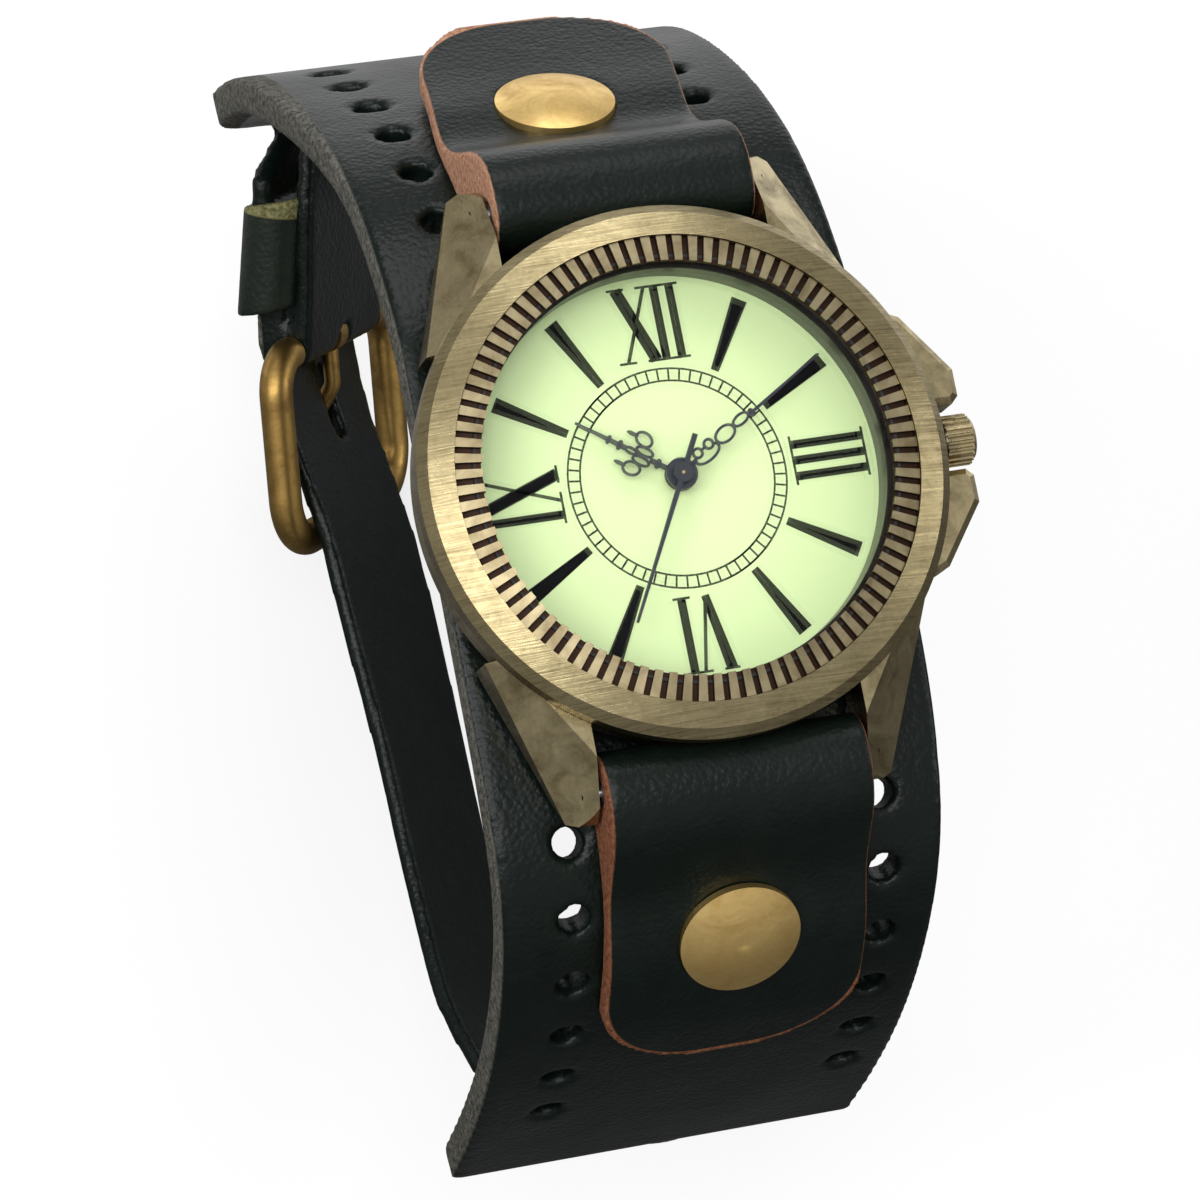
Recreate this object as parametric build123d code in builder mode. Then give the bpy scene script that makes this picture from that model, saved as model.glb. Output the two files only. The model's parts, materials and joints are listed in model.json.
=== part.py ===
from build123d import *
from math import atan2, cos, degrees, radians, sin
import os

# A cuff watch: a round watch head with a fluted ring and openwork hands, held on a wide leather cuff
# by two riveted leather tabs, and closed behind by a narrow strap with a keeper and a buckle.
# The frame is the dial's: origin at the dial's centre on its face, +X to the crown, +Y to twelve,
# +Z out of the dial. Millimetres.

os.makedirs("parts", exist_ok=True)

# Clearances and cuts
running_gap = 0.05
seat_gap = 0.1
leather_gap = 0.2
overrun = 1.0

# Watch case
bezel_radius = 20.0
bezel_edge_radius = 19.3
bezel_edge_height = 3.3
bezel_top_height = 3.9
bezel_side_height = 2.6
wall_radius = 19.6
case_corner = 1.4
neck_radius = 17.4
neck_height = 0.7
cavity_radius = 15.9
case_floor_depth = 3.4
shoulder_height = 1.2

# Fluted ring, crystal and inner ring
lip_radius = 15.45
lip_height = 0.6
lip_slope = 0.35
flute_count = 90
flute_width = 0.5
flute_depth = 0.7
crystal_cover = 0.3
crystal_thickness = 1.2
gasket_wall = 0.25
inner_ring_wall = 0.55
inner_ring_height = 2.3

# Case back
back_radius = 17.8
back_thickness = 0.9
back_lip_wall = 0.8
back_lip_height = 0.5
back_chamfer = 0.4
seal_radius = 0.25
seal_reach = 16.8

# Dial and hands
dial_thickness = 0.4
foot_radius = 0.35
foot_length = 0.9
foot_reach = 9.6
foot_angle = 115.0
hand_thickness = 0.15
hub_radius = 1.2
hour_hand_level = 0.75
minute_hand_level = 1.25
second_hand_level = 1.7
hour_hand_length = 8.65
minute_hand_length = 14.2
second_hand_length = 11.9
second_tail_length = 3.06
second_hub_radius = 0.75
second_tail_width = 0.4
second_tip_width = 0.2
hour_angle = 304.9
minute_angle = 58.3
second_angle = 208.0
line_width = 0.2
loop_lean = 15.0

# Crown, stem and guards
stem_depth = 1.25
stem_radius = 0.5
stem_square = 0.6
stem_inner_end = 4.2
tube_wall = 0.45
tube_outer_end = 21.6
crown_radius = 1.95
crown_start = 20.9
crown_length = 2.3
crown_cap = 0.9
crown_flute_count = 22
crown_flute_radius = 0.2
crown_edge = 0.3
crown_taper = 35.0
crown_pull = 1.2
crown_seal_wall = 0.3
crown_seal_length = 0.4
pinion_radius = 0.6
pinion_start = 5.2
pinion_length = 1.4
guard_reach = 22.4
guard_root = 9.6
guard_shoulder = 5.1
guard_gap = 0.55
guard_top = 0.8
guard_bottom = 3.0
guard_chamfer = 0.5

# Lugs and spring bars
band_gap = 20.6
lug_tip_width = 2.1
lug_root_width = 6.6
lug_root_reach = 11.5
lug_reach = 24.0
lug_top_height = 1.1
lug_crest_reach = 18.8
lug_cover = 0.9
lug_tip_drop = 2.6
lug_underside = 3.4
lug_bevel = 1.2
bar_reach = 21.9
bar_depth = 1.6
bar_radius = 0.9
bar_end_gap = 0.3
tip_radius = 0.4
tip_reach = 1.0
tip_flange_radius = 0.6
tip_flange_length = 0.5
tip_travel = 0.9

# Movement
movement_radius = 11.6
plate_thickness = 1.35
rim_wall = 0.7
rim_height = 1.2
train_pitch = 0.3
wheel_thickness = 0.15
arbor_radius = 0.12
seconds_pin_radius = 0.13
pipe_wall = 0.15
hub_wall = 0.1
third_reach = 3.15
third_ratio = 8
centre_ratio = 7.5
hour_ratio = 4
third_angle = 140.0
fourth_wheel_radius = 2.0
relay_pinion_radius = 0.4
relay_wheel_radius = 1.8
relay_angle = -60.0
rotor_pinion_radius = 0.3
rotor_radius = 0.75
rotor_length = 0.55
mesh_gap = 0.02
motion_recess = 0.55
cannon_radius = 0.75
minute_wheel_radius = 2.25
minute_wheel_angle = 200.0
stator_thickness = 0.3
stator_width = 7.2
stator_height = 2.0
air_gap = 0.2
stator_leg_width = 1.2
coil_reach = 4.7
coil_radius = 0.55
coil_length = 4.4
core_width = 0.7
core_thickness = 0.3
battery_radius = 3.4
battery_height = 2.1
battery_x = -6.3
battery_y = -3.6
battery_sink = 0.65
clamp_width = 1.4
clamp_thickness = 0.12
post_radius = 0.6
post_offset = 4.3
bridge_radius = 5.6
bridge_shift = 0.6
bridge_thickness = 0.2
pillar_radius = 0.4
pillar_shares = [(0.75, 0.32), (-0.39, -0.7), (0.11, 0.79)]
board_start = 0.5

# Leather cuff and strap
loop_reach = 45.0
loop_depth = 60.0
cuff_depth = 4.6
cuff_width = 35.3
cuff_thickness = 3.0
bend_shares = [0.0, 0.08, 0.16, 0.25, 0.35, 0.45, 0.55, 0.65, 0.75, 0.85, 0.93, 1.0]
strap_width = 16.0
strap_thickness = 1.5
short_thickness = 1.4
strap_lean = 10.0
strap_twist = 53.0
edge_round = 0.35
tail_run_on = 2.0
tail_tip = 4.0
tail_tip_share = 0.4
punch_radius = 1.2
punch_inset = 5.65
punch_start = 18.6
punch_pitch = 6.1
punch_count = 7

# Tabs and rivets
tab_width = 20.0
tab_thickness = 2.0
tab_corner = 8.0
tab_run = 13.6
tab_shares = [-0.78, -0.5, -0.3, 0.0, 0.35, 0.7, 1.0]
upper_tab_lift = 2.0
lower_rivet_reach = 33.1
upper_rivet_reach = 34.6
rivet_radius = 4.65
rivet_dome = 1.5
rivet_edge = 0.6
rivet_sink = 0.35
rivet_post_radius = 1.3
rivet_base_radius = 4.0
rivet_base_thickness = 0.8

# Keeper and buckle
keeper_length = 9.4
keeper_wall = 1.7
keeper_floor = 0.8
keeper_start = 2.3
keeper_corner = 2.3
fold_thickness = 0.8
heel_bar_radius = 0.8
wire_radius = 1.4
frame_side_gap = 2.2
frame_far_corner = 4.2
frame_heel_corner = 3.2
prong_radius = 0.7
prong_ring_wall = 0.7
prong_hole_length = 6.6
prong_bend_share = 0.28
prong_level_share = 0.48
prong_corner = 1.5

# Heights that follow from the sizes above
dial_back = -dial_thickness
case_floor = -case_floor_depth
neck_top = shoulder_height + neck_height
crystal_top = inner_ring_height + crystal_thickness
lip_top = crystal_top + lip_height
crystal_radius = lip_radius + crystal_cover
ring_bore = crystal_radius + gasket_wall + 2 * running_gap
stem_axis = -stem_depth
bar_axis = -bar_depth
plate_back = dial_back - plate_thickness
rim_back = plate_back - rim_height
train_top = plate_back - running_gap
ring_radius = bar_radius + running_gap + tab_thickness
flute_tilt = degrees(atan2(lip_slope, neck_radius - lip_radius))


def finish(part, label):
    """Name a finished piece and write it, with the cuff's inner face as the part's origin."""
    seated = part.moved(Location((0, 0, cuff_depth + cuff_thickness)))
    seated.label = label
    export_step(seated, "parts/" + label + ".step")


def ring_piece(outer, inner, bottom, top, label):
    """A plain ring about the dial's axis."""
    with BuildPart() as ring:
        with BuildSketch(Plane.XY.offset(bottom)):
            Circle(outer)
            Circle(inner, mode=Mode.SUBTRACT)
        extrude(amount=top - bottom)
    finish(ring.part, label)


# One lug, in the quarter with the crown and twelve: a side profile cut to a tapered outline, with a
# long facet along its outer edge
lug_inner = band_gap / 2
lug_root = Vector(lug_inner + lug_root_width, lug_root_reach, lug_top_height - lug_bevel)
lug_tip = Vector(lug_inner + lug_tip_width, lug_reach, -lug_tip_drop - lug_bevel / 2)
lug_edge = lug_tip - lug_root
lug_side = Vector(lug_edge.Y, -lug_edge.X, 0).normalized()
facet_normal = lug_edge.cross(Vector(0, 0, 1) - lug_side)
facet_plane = Plane(origin=lug_root, x_dir=lug_edge, z_dir=facet_normal * (1 if facet_normal.Z > 0 else -1))

with BuildPart() as lug:
    with BuildSketch(Plane.YZ.offset(lug_inner)):
        with BuildLine():
            Line((lug_root_reach, -lug_underside), (lug_root_reach, lug_top_height))
            Line((lug_root_reach, lug_top_height), (lug_crest_reach, lug_top_height))
            ThreePointArc(
                (lug_crest_reach, lug_top_height),
                (bar_reach, bar_axis + bar_radius + lug_cover),
                (lug_reach, -lug_tip_drop),
            )
            Line((lug_reach, -lug_tip_drop), (lug_reach - lug_bevel / 2, -lug_underside))
            Line((lug_reach - lug_bevel / 2, -lug_underside), (lug_root_reach, -lug_underside))
        make_face()
    extrude(amount=lug_root_width)
    with BuildSketch(Plane.XY.offset(-lug_underside - overrun)):
        with BuildLine():
            Polyline(
                (lug_inner, lug_root_reach),
                (lug_inner + lug_root_width, lug_root_reach),
                (lug_inner + lug_tip_width, lug_reach),
                (lug_inner, lug_reach),
                close=True,
            )
        make_face()
    extrude(amount=2 * (lug_underside + overrun), mode=Mode.INTERSECT)
    split(bisect_by=facet_plane, keep=Keep.BOTTOM)

# One crown guard, on the side of twelve
guard_near = crown_radius + guard_gap
with BuildPart() as guard:
    with BuildSketch(Plane.XY.offset(-guard_bottom)):
        with BuildLine():
            Polyline(
                (cavity_radius + overrun, guard_root + overrun),
                (wall_radius - overrun / 2, guard_root),
                (guard_reach, guard_shoulder),
                (guard_reach, guard_near + guard_gap),
                (guard_reach - guard_gap, guard_near),
                (cavity_radius + overrun, guard_near),
                close=True,
            )
        make_face()
    extrude(amount=guard_bottom + guard_top)
    chamfer(guard.edges().group_by(Axis.Z)[-1], guard_chamfer)
    chamfer(guard.edges().group_by(Axis.Z)[0], guard_chamfer)

# Case body: a revolved wall with its neck, the guards and the four lugs, bored for the movement,
# the crown's tube, the back's seal and the ends of the spring bars
with BuildPart() as case_body:
    with BuildSketch(Plane.XZ):
        with BuildLine():
            Polyline(
                (cavity_radius - overrun, case_floor),
                (wall_radius - case_corner, case_floor),
                (wall_radius, case_floor + case_corner),
                (wall_radius, shoulder_height),
                (neck_radius, shoulder_height),
                (neck_radius, neck_top),
                (cavity_radius - overrun, neck_top),
                close=True,
            )
        make_face()
    revolve(axis=Axis.Z)
    add(guard.part)
    add(guard.part.mirror(Plane.XZ))
    add(lug.part)
    add(lug.part.mirror(Plane.XZ))
    add(lug.part.mirror(Plane.YZ))
    add(lug.part.mirror(Plane.XZ).mirror(Plane.YZ))
    with BuildSketch(Plane.XY.offset(case_floor - overrun)):
        Circle(cavity_radius)
    extrude(amount=neck_top - case_floor + 2 * overrun, mode=Mode.SUBTRACT)
    with BuildSketch(Plane.XY.offset(neck_top)):
        Circle(bezel_radius)
        Circle(neck_radius, mode=Mode.SUBTRACT)
    extrude(amount=shoulder_height - neck_top, mode=Mode.SUBTRACT)
    with BuildSketch(Plane.XY.offset(case_floor)):
        Circle(seal_reach + seal_radius + running_gap)
        Circle(seal_reach - seal_radius - running_gap, mode=Mode.SUBTRACT)
    extrude(amount=2 * seal_radius, mode=Mode.SUBTRACT)
    with BuildSketch(Plane.YZ.offset(cavity_radius - overrun)):
        with Locations((0, stem_axis)):
            Circle(stem_radius + tube_wall + 2 * running_gap)
    extrude(amount=guard_reach - cavity_radius, mode=Mode.SUBTRACT)
    with Locations((0, bar_reach, bar_axis), (0, -bar_reach, bar_axis)):
        Cylinder(
            tip_radius + running_gap,
            band_gap + 2 * (tip_reach + seat_gap),
            rotation=(0, 90, 0),
            mode=Mode.SUBTRACT,
        )
        Cylinder(ring_radius + seat_gap, band_gap, rotation=(0, 90, 0), mode=Mode.SUBTRACT)
finish(case_body.part, "case_body")

# Bezel: side wall, softened edge and a top that slopes down to the edge
with BuildPart() as bezel:
    with BuildSketch(Plane.XZ):
        with BuildLine():
            Polyline(
                (neck_radius + running_gap, shoulder_height),
                (bezel_radius, shoulder_height),
                (bezel_radius, bezel_side_height),
                (bezel_edge_radius, bezel_edge_height),
                (neck_radius + running_gap, bezel_top_height),
                close=True,
            )
        make_face()
    revolve(axis=Axis.Z)
finish(bezel.part, "bezel")

# Fluted ring: it holds the crystal under its lip, and flutes cross its sloping top
with BuildPart() as fluted_ring:
    with BuildSketch(Plane.XZ):
        with BuildLine():
            Polyline(
                (ring_bore, neck_top),
                (neck_radius, neck_top),
                (neck_radius, lip_top - lip_slope),
                (lip_radius, lip_top),
                (lip_radius, crystal_top),
                (ring_bore, crystal_top),
                close=True,
            )
        make_face()
    revolve(axis=Axis.Z)
    with Locations((0, 0, lip_top)):
        with PolarLocations((lip_radius + neck_radius) / 2, flute_count):
            Box(
                neck_radius - lip_radius + overrun,
                flute_width,
                2 * flute_depth,
                rotation=(0, flute_tilt, 0),
                mode=Mode.SUBTRACT,
            )
finish(fluted_ring.part, "fluted_ring")

# Crystal, its gasket and the dark ring that it rests on
with BuildPart() as crystal:
    with BuildSketch(Plane.XY.offset(inner_ring_height)):
        Circle(crystal_radius)
    extrude(amount=crystal_thickness)
finish(crystal.part, "crystal")

gasket_bore = crystal_radius + running_gap
ring_piece(gasket_bore + gasket_wall, gasket_bore, inner_ring_height, crystal_top, "crystal_gasket")
inner_ring_outer = cavity_radius - running_gap
ring_piece(inner_ring_outer, inner_ring_outer - inner_ring_wall, 0, inner_ring_height, "inner_ring")

# Case back: a plate with a lip that snaps into the case, over a round seal
with BuildPart() as case_back:
    with BuildSketch(Plane.XY.offset(case_floor)):
        Circle(back_radius)
    extrude(amount=-back_thickness)
    chamfer(case_back.edges().group_by(Axis.Z)[0], back_chamfer)
    with BuildSketch(Plane.XY.offset(case_floor)):
        Circle(cavity_radius - running_gap)
        Circle(cavity_radius - running_gap - back_lip_wall, mode=Mode.SUBTRACT)
    extrude(amount=back_lip_height)
finish(case_back.part, "case_back")

with BuildPart() as case_back_seal:
    with Locations((0, 0, case_floor + seal_radius)):
        Torus(seal_reach, seal_radius)
finish(case_back_seal.part, "case_back_seal")

# Dial: a disc with a hole for the hands' pipes and two feet
pipe_bore = [seconds_pin_radius + running_gap]
pipe_outer = [pipe_bore[0] + pipe_wall]
for pipe in range(2):
    pipe_bore.append(pipe_outer[-1] + running_gap)
    pipe_outer.append(pipe_bore[-1] + pipe_wall)
centre_hole = pipe_outer[2] + running_gap
foot_plane = Plane.XY.offset(dial_back).rotated((0, 0, foot_angle))
with BuildPart() as dial:
    with BuildSketch(Plane.XY.offset(dial_back)):
        Circle(cavity_radius - running_gap)
        Circle(centre_hole, mode=Mode.SUBTRACT)
    extrude(amount=dial_thickness)
    with BuildSketch(foot_plane):
        with Locations((foot_reach, 0), (-foot_reach, 0)):
            Circle(foot_radius)
    extrude(amount=-foot_length)
finish(dial.part, "dial")

# Hands: flat openwork traced in sheet. Each row of loop shares gives the centre, width and height of
# an oval loop and its lean, and each row of bar shares the start, end and the widths of a tapered
# bar, as shares of the hand's length and of the loops' lean.
hour_loop_shares = [
    (-0.044, 0.358, 0.0925, 0.173, 0.0),
    (0.044, 0.358, 0.0925, 0.173, 0.0),
    (-0.139, 0.405, 0.139, 0.173, 1.0),
    (0.139, 0.405, 0.139, 0.173, -1.0),
    (0.0, 0.468, 0.0694, 0.127, 0.0),
]
hour_knob_shares = [
    (0.0, 0.214, 0.0925, 0.058, 0.0),
    (0.0, 0.578, 0.0925, 0.052, 0.0),
    (0.0, 0.682, 0.081, 0.046, 0.0),
    (-0.142, 0.515, 0.035, 0.11, 0.0),
    (0.142, 0.515, 0.035, 0.11, 0.0),
]
hour_bar_shares = [(0.0, 0.29, 0.046, 0.046), (0.52, 1.0, 0.046, 0.02)]
minute_loop_shares = [
    (0.0106, 0.176, 0.0845, 0.169, 0.0),
    (-0.007, 0.32, 0.0915, 0.134, 0.0),
    (-0.0106, 0.4366, 0.0634, 0.1127, 0.0),
]
minute_curl_shares = [(-0.0246, 0.215, 0.0634, 0.0634, 0.0), (-0.0246, 0.137, 0.0634, 0.0634, 0.0)]
minute_knob_shares = [(0.0, 0.507, 0.0493, 0.0352, 0.0)]
minute_bar_shares = [(0.0, 0.106, 0.028, 0.028), (0.486, 1.0, 0.018, 0.01)]


def hand_plane(angle, height):
    """The plane of a hand at a height, with its Y along the hand at a clock angle."""
    return Plane.XY.offset(height).rotated((0, 0, -angle))


def ovals(shares, length, border=0):
    """Ovals along a hand, smaller by a border all round."""
    with BuildSketch(mode=Mode.PRIVATE) as shape:
        for x, y, wide, tall, lean in shares:
            with Locations(Location((x * length, y * length), lean * loop_lean)):
                Ellipse(wide * length / 2 - border, tall * length / 2 - border)
    return shape.sketch


def bars(shares, length):
    """Tapered bars along a hand."""
    with BuildSketch(mode=Mode.PRIVATE) as shape:
        for start, end, wide, narrow in shares:
            with BuildLine():
                Polyline(
                    (-wide * length / 2, start * length),
                    (wide * length / 2, start * length),
                    (narrow * length / 2, end * length),
                    (-narrow * length / 2, end * length),
                    close=True,
                )
            make_face()
    return shape.sketch


with BuildPart() as hour_hand:
    with BuildSketch(hand_plane(hour_angle, hour_hand_level)):
        add(ovals(hour_loop_shares, hour_hand_length))
        add(ovals(hour_loop_shares, hour_hand_length, line_width), mode=Mode.SUBTRACT)
        add(ovals(hour_knob_shares, hour_hand_length))
        add(bars(hour_bar_shares, hour_hand_length))
        Circle(hub_radius)
        Circle(pipe_outer[2] + seat_gap / 2, mode=Mode.SUBTRACT)
    extrude(amount=hand_thickness)
finish(hour_hand.part, "hour_hand")

with BuildPart() as minute_hand:
    with BuildSketch(hand_plane(minute_angle, minute_hand_level)):
        add(ovals(minute_loop_shares, minute_hand_length))
        add(ovals(minute_loop_shares, minute_hand_length, line_width), mode=Mode.SUBTRACT)
        add(ovals(minute_curl_shares, minute_hand_length))
        add(ovals(minute_curl_shares, minute_hand_length, line_width), mode=Mode.SUBTRACT)
        add(ovals(minute_knob_shares, minute_hand_length))
        add(bars(minute_bar_shares, minute_hand_length))
        Circle(hub_radius)
        Circle(pipe_outer[1] + seat_gap / 2, mode=Mode.SUBTRACT)
    extrude(amount=hand_thickness)
finish(minute_hand.part, "minute_hand")

with BuildPart() as second_hand:
    with BuildSketch(hand_plane(second_angle, second_hand_level)):
        with BuildLine():
            Polyline(
                (-second_tail_width / 2, -second_tail_length),
                (second_tail_width / 2, -second_tail_length),
                (second_tail_width / 2, 0),
                (second_tip_width / 2, second_hand_length),
                (-second_tip_width / 2, second_hand_length),
                (-second_tail_width / 2, 0),
                close=True,
            )
        make_face()
        Circle(second_hub_radius)
        Circle(seconds_pin_radius + seat_gap / 2, mode=Mode.SUBTRACT)
    extrude(amount=hand_thickness)
finish(second_hand.part, "second_hand")

# Crown's tube, crown, its seal, the stem and the sliding pinion
tube_bore = stem_radius + running_gap
tube_radius = tube_bore + tube_wall
tube_start = cavity_radius + running_gap
stem_line = Plane.YZ.shift_origin((0, 0, stem_axis))
with BuildPart() as crown_tube:
    with BuildSketch(stem_line.offset(tube_start)):
        Circle(tube_radius)
        Circle(tube_bore, mode=Mode.SUBTRACT)
    extrude(amount=tube_outer_end - tube_start)
finish(crown_tube.part, "crown_tube")

seal_bore = tube_radius + running_gap
crown_bore = seal_bore + crown_seal_wall + running_gap
crown_depth = crown_length - crown_cap
with BuildPart() as crown:
    with BuildSketch(stem_line.offset(crown_start)):
        Circle(crown_radius)
        with PolarLocations(crown_radius, crown_flute_count):
            Circle(crown_flute_radius, mode=Mode.SUBTRACT)
    extrude(amount=crown_length - crown_edge)
    with BuildSketch(stem_line.offset(crown_start + crown_length - crown_edge)):
        Circle(crown_radius - crown_flute_radius)
    extrude(amount=crown_edge, taper=crown_taper)
    with BuildSketch(stem_line.offset(crown_start)):
        Circle(crown_bore)
    extrude(amount=crown_depth, mode=Mode.SUBTRACT)
finish(crown.part, "crown")

with BuildPart() as crown_seal:
    with BuildSketch(stem_line.offset(crown_start + running_gap)):
        Circle(seal_bore + crown_seal_wall)
        Circle(seal_bore, mode=Mode.SUBTRACT)
    extrude(amount=crown_seal_length)
finish(crown_seal.part, "crown_seal")

pinion_end = pinion_start + pinion_length
stem_round_start = pinion_end + crown_pull + running_gap
with BuildPart() as stem:
    with BuildSketch(stem_line.offset(stem_inner_end)):
        Rectangle(stem_square, stem_square)
    extrude(amount=stem_round_start - stem_inner_end)
    with BuildSketch(stem_line.offset(stem_round_start)):
        Circle(stem_radius)
    extrude(amount=crown_start + crown_depth - stem_round_start)
finish(stem.part, "stem")

with BuildPart() as sliding_pinion:
    with BuildSketch(stem_line.offset(pinion_start)):
        Circle(pinion_radius)
        Rectangle(stem_square + running_gap, stem_square + running_gap, mode=Mode.SUBTRACT)
    extrude(amount=pinion_length)
finish(sliding_pinion.part, "sliding_pinion")

# Spring bars between the lugs, each a tube with a sprung tip at both ends
bar_half = band_gap / 2 - bar_end_gap
bar_hollow_end = bar_half - bar_end_gap
flange_bore = tip_flange_radius + running_gap
for side, label in ((1, "upper"), (-1, "lower")):
    bar_line = Plane.YZ.shift_origin((0, side * bar_reach, bar_axis))
    with BuildPart() as spring_bar:
        with BuildSketch(bar_line):
            Circle(bar_radius)
        extrude(amount=bar_half, both=True)
        with BuildSketch(bar_line):
            Circle(flange_bore)
        extrude(amount=bar_hollow_end, both=True, mode=Mode.SUBTRACT)
        with BuildSketch(bar_line):
            Circle(tip_radius + running_gap)
        extrude(amount=bar_half, both=True, mode=Mode.SUBTRACT)
    finish(spring_bar.part, "spring_bar_" + label)
    for end, side_label in ((1, "_right_tip"), (-1, "_left_tip")):
        with BuildPart() as tip:
            with BuildSketch(bar_line.offset(end * (bar_hollow_end - running_gap - tip_flange_length))):
                Circle(tip_flange_radius)
            extrude(amount=end * tip_flange_length)
            with BuildSketch(bar_line.offset(end * (bar_hollow_end - running_gap))):
                Circle(tip_radius)
            extrude(amount=end * (band_gap / 2 + tip_reach - bar_hollow_end + running_gap))
        finish(tip.part, label + side_label)

# Movement: where its wheels stand
third_point = Vector(third_reach, 0).rotate(Axis.Z, third_angle)
relay_reach = fourth_wheel_radius + relay_pinion_radius
relay_point = Vector(relay_reach, 0).rotate(Axis.Z, relay_angle)
rotor_reach = relay_reach + relay_wheel_radius + rotor_pinion_radius
rotor_point = Vector(rotor_reach, 0).rotate(Axis.Z, relay_angle)
third_pinion_radius = third_reach / (centre_ratio + 1)
fourth_pinion_radius = third_reach / (third_ratio + 1)
centre_wheel_radius = third_reach - third_pinion_radius
third_wheel_radius = third_reach - fourth_pinion_radius
minute_pinion_radius = (cannon_radius + minute_wheel_radius) / (hour_ratio + 1)
minute_reach = cannon_radius + minute_wheel_radius
hour_wheel_radius = minute_reach - minute_pinion_radius
minute_point = Vector(minute_reach, 0).rotate(Axis.Z, minute_wheel_angle)
battery_point = Vector(battery_x, battery_y)
levels = [train_top - train_pitch * step for step in range(4)]
recess_floor = dial_back - motion_recess
hour_wheel_top = dial_back - running_gap
minute_wheel_top = hour_wheel_top - wheel_thickness - seat_gap
battery_top = plate_back + battery_sink
battery_bottom = battery_top - battery_height
bridge_bottom = rim_back - bridge_thickness


def at(point, height):
    """A level plane with its origin over a point of the movement."""
    return Plane.XY.offset(height).shift_origin((point.X, point.Y, height))


# Main plate, with a rim, a recess for the motion work, the stem's channel, a pocket for the
# battery, holes for the dial's feet and the pillars and posts of the bridge and the clamp
clamp_points = [battery_point + Vector(0, post_offset), battery_point - Vector(0, post_offset)]
pillar_points = [Vector(x * bridge_radius, y * bridge_radius) for x, y in pillar_shares]
with BuildPart() as main_plate:
    with BuildSketch(Plane.XY.offset(dial_back)):
        Circle(movement_radius)
    extrude(amount=-plate_thickness)
    with BuildSketch(Plane.XY.offset(plate_back)):
        Circle(movement_radius)
        Circle(movement_radius - rim_wall, mode=Mode.SUBTRACT)
    extrude(amount=-rim_height)
    with BuildSketch(at(battery_point, battery_top)):
        Circle(battery_radius + running_gap)
    extrude(amount=plate_back - battery_top - overrun, mode=Mode.SUBTRACT)
    with BuildSketch(Plane.XY.offset(dial_back)):
        Circle(hour_wheel_radius + seat_gap)
        with Locations((minute_point.X, minute_point.Y)):
            Circle(minute_wheel_radius + seat_gap)
    extrude(amount=-motion_recess, mode=Mode.SUBTRACT)
    with BuildSketch(at(minute_point, recess_floor)):
        Circle(arbor_radius)
    extrude(amount=hour_wheel_top - recess_floor)
    with BuildSketch(Plane.XY.offset(dial_back)):
        Circle(pipe_outer[0] + running_gap)
        with Locations(third_point, rotor_point):
            Circle(arbor_radius + running_gap)
    extrude(amount=-plate_thickness, mode=Mode.SUBTRACT)
    with BuildSketch(stem_line.offset(stem_inner_end - running_gap)):
        Circle(pinion_radius + running_gap)
    extrude(amount=movement_radius, mode=Mode.SUBTRACT)
    with BuildSketch(foot_plane):
        with Locations((foot_reach, 0), (-foot_reach, 0)):
            Circle(foot_radius + running_gap)
    extrude(amount=-foot_length - running_gap, mode=Mode.SUBTRACT)
    with BuildSketch(Plane.XY.offset(plate_back)):
        with Locations(*pillar_points):
            Circle(pillar_radius)
    extrude(amount=-rim_height)
    with BuildSketch(Plane.XY.offset(plate_back)):
        with Locations(*clamp_points):
            Circle(post_radius)
    extrude(amount=battery_bottom - plate_back)
finish(main_plate.part, "main_plate")

# Train bridge, with pivot holes and a stud for the intermediate wheel
with BuildPart() as train_bridge:
    with BuildSketch(Plane.XY.offset(rim_back)):
        with Locations((0, -bridge_shift)):
            Circle(bridge_radius)
        with Locations(battery_point):
            Circle(battery_radius + seat_gap, mode=Mode.SUBTRACT)
        with Locations(clamp_points[0]):
            Circle(post_radius + seat_gap, mode=Mode.SUBTRACT)
        with Locations((0, 0), third_point, rotor_point):
            Circle(arbor_radius + running_gap, mode=Mode.SUBTRACT)
    extrude(amount=-bridge_thickness)
    with BuildSketch(at(relay_point, rim_back)):
        Circle(arbor_radius)
    extrude(amount=levels[2] - wheel_thickness - rim_back)
finish(train_bridge.part, "train_bridge")

# Circuit board on the plate's rim, round the bridge and clear of the battery
with BuildPart() as circuit_board:
    with BuildSketch(Plane.XY.offset(rim_back)):
        Circle(movement_radius - seat_gap)
        with Locations((-movement_radius + board_start, 0)):
            Rectangle(2 * movement_radius, 2 * movement_radius, mode=Mode.SUBTRACT)
        with Locations((0, -bridge_shift)):
            Circle(bridge_radius + seat_gap, mode=Mode.SUBTRACT)
    extrude(amount=-bridge_thickness)
finish(circuit_board.part, "circuit_board")

# Stator: a plate round the rotor with two legs that reach under the coil's core
stator_top = levels[0] - seat_gap
coil_line = Plane.YZ.shift_origin((0, rotor_point.Y - coil_reach, stator_top - stator_thickness))
with BuildPart() as stator:
    with BuildSketch(at(rotor_point, stator_top)):
        Rectangle(stator_width, stator_height)
        with Locations(
            ((stator_width - stator_leg_width) / 2, -coil_reach / 2),
            (-(stator_width - stator_leg_width) / 2, -coil_reach / 2),
        ):
            Rectangle(stator_leg_width, coil_reach + core_width)
        Circle(rotor_radius + air_gap, mode=Mode.SUBTRACT)
    extrude(amount=-stator_thickness)
finish(stator.part, "stator")

with BuildPart() as coil:
    with BuildSketch(coil_line.offset(rotor_point.X)):
        with Locations((0, -core_thickness / 2)):
            Rectangle(core_width, core_thickness)
    extrude(amount=stator_width / 2, both=True)
    with BuildSketch(coil_line.offset(rotor_point.X)):
        with Locations((0, -core_thickness / 2)):
            Circle(coil_radius)
    extrude(amount=coil_length / 2, both=True)
finish(coil.part, "coil")

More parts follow.
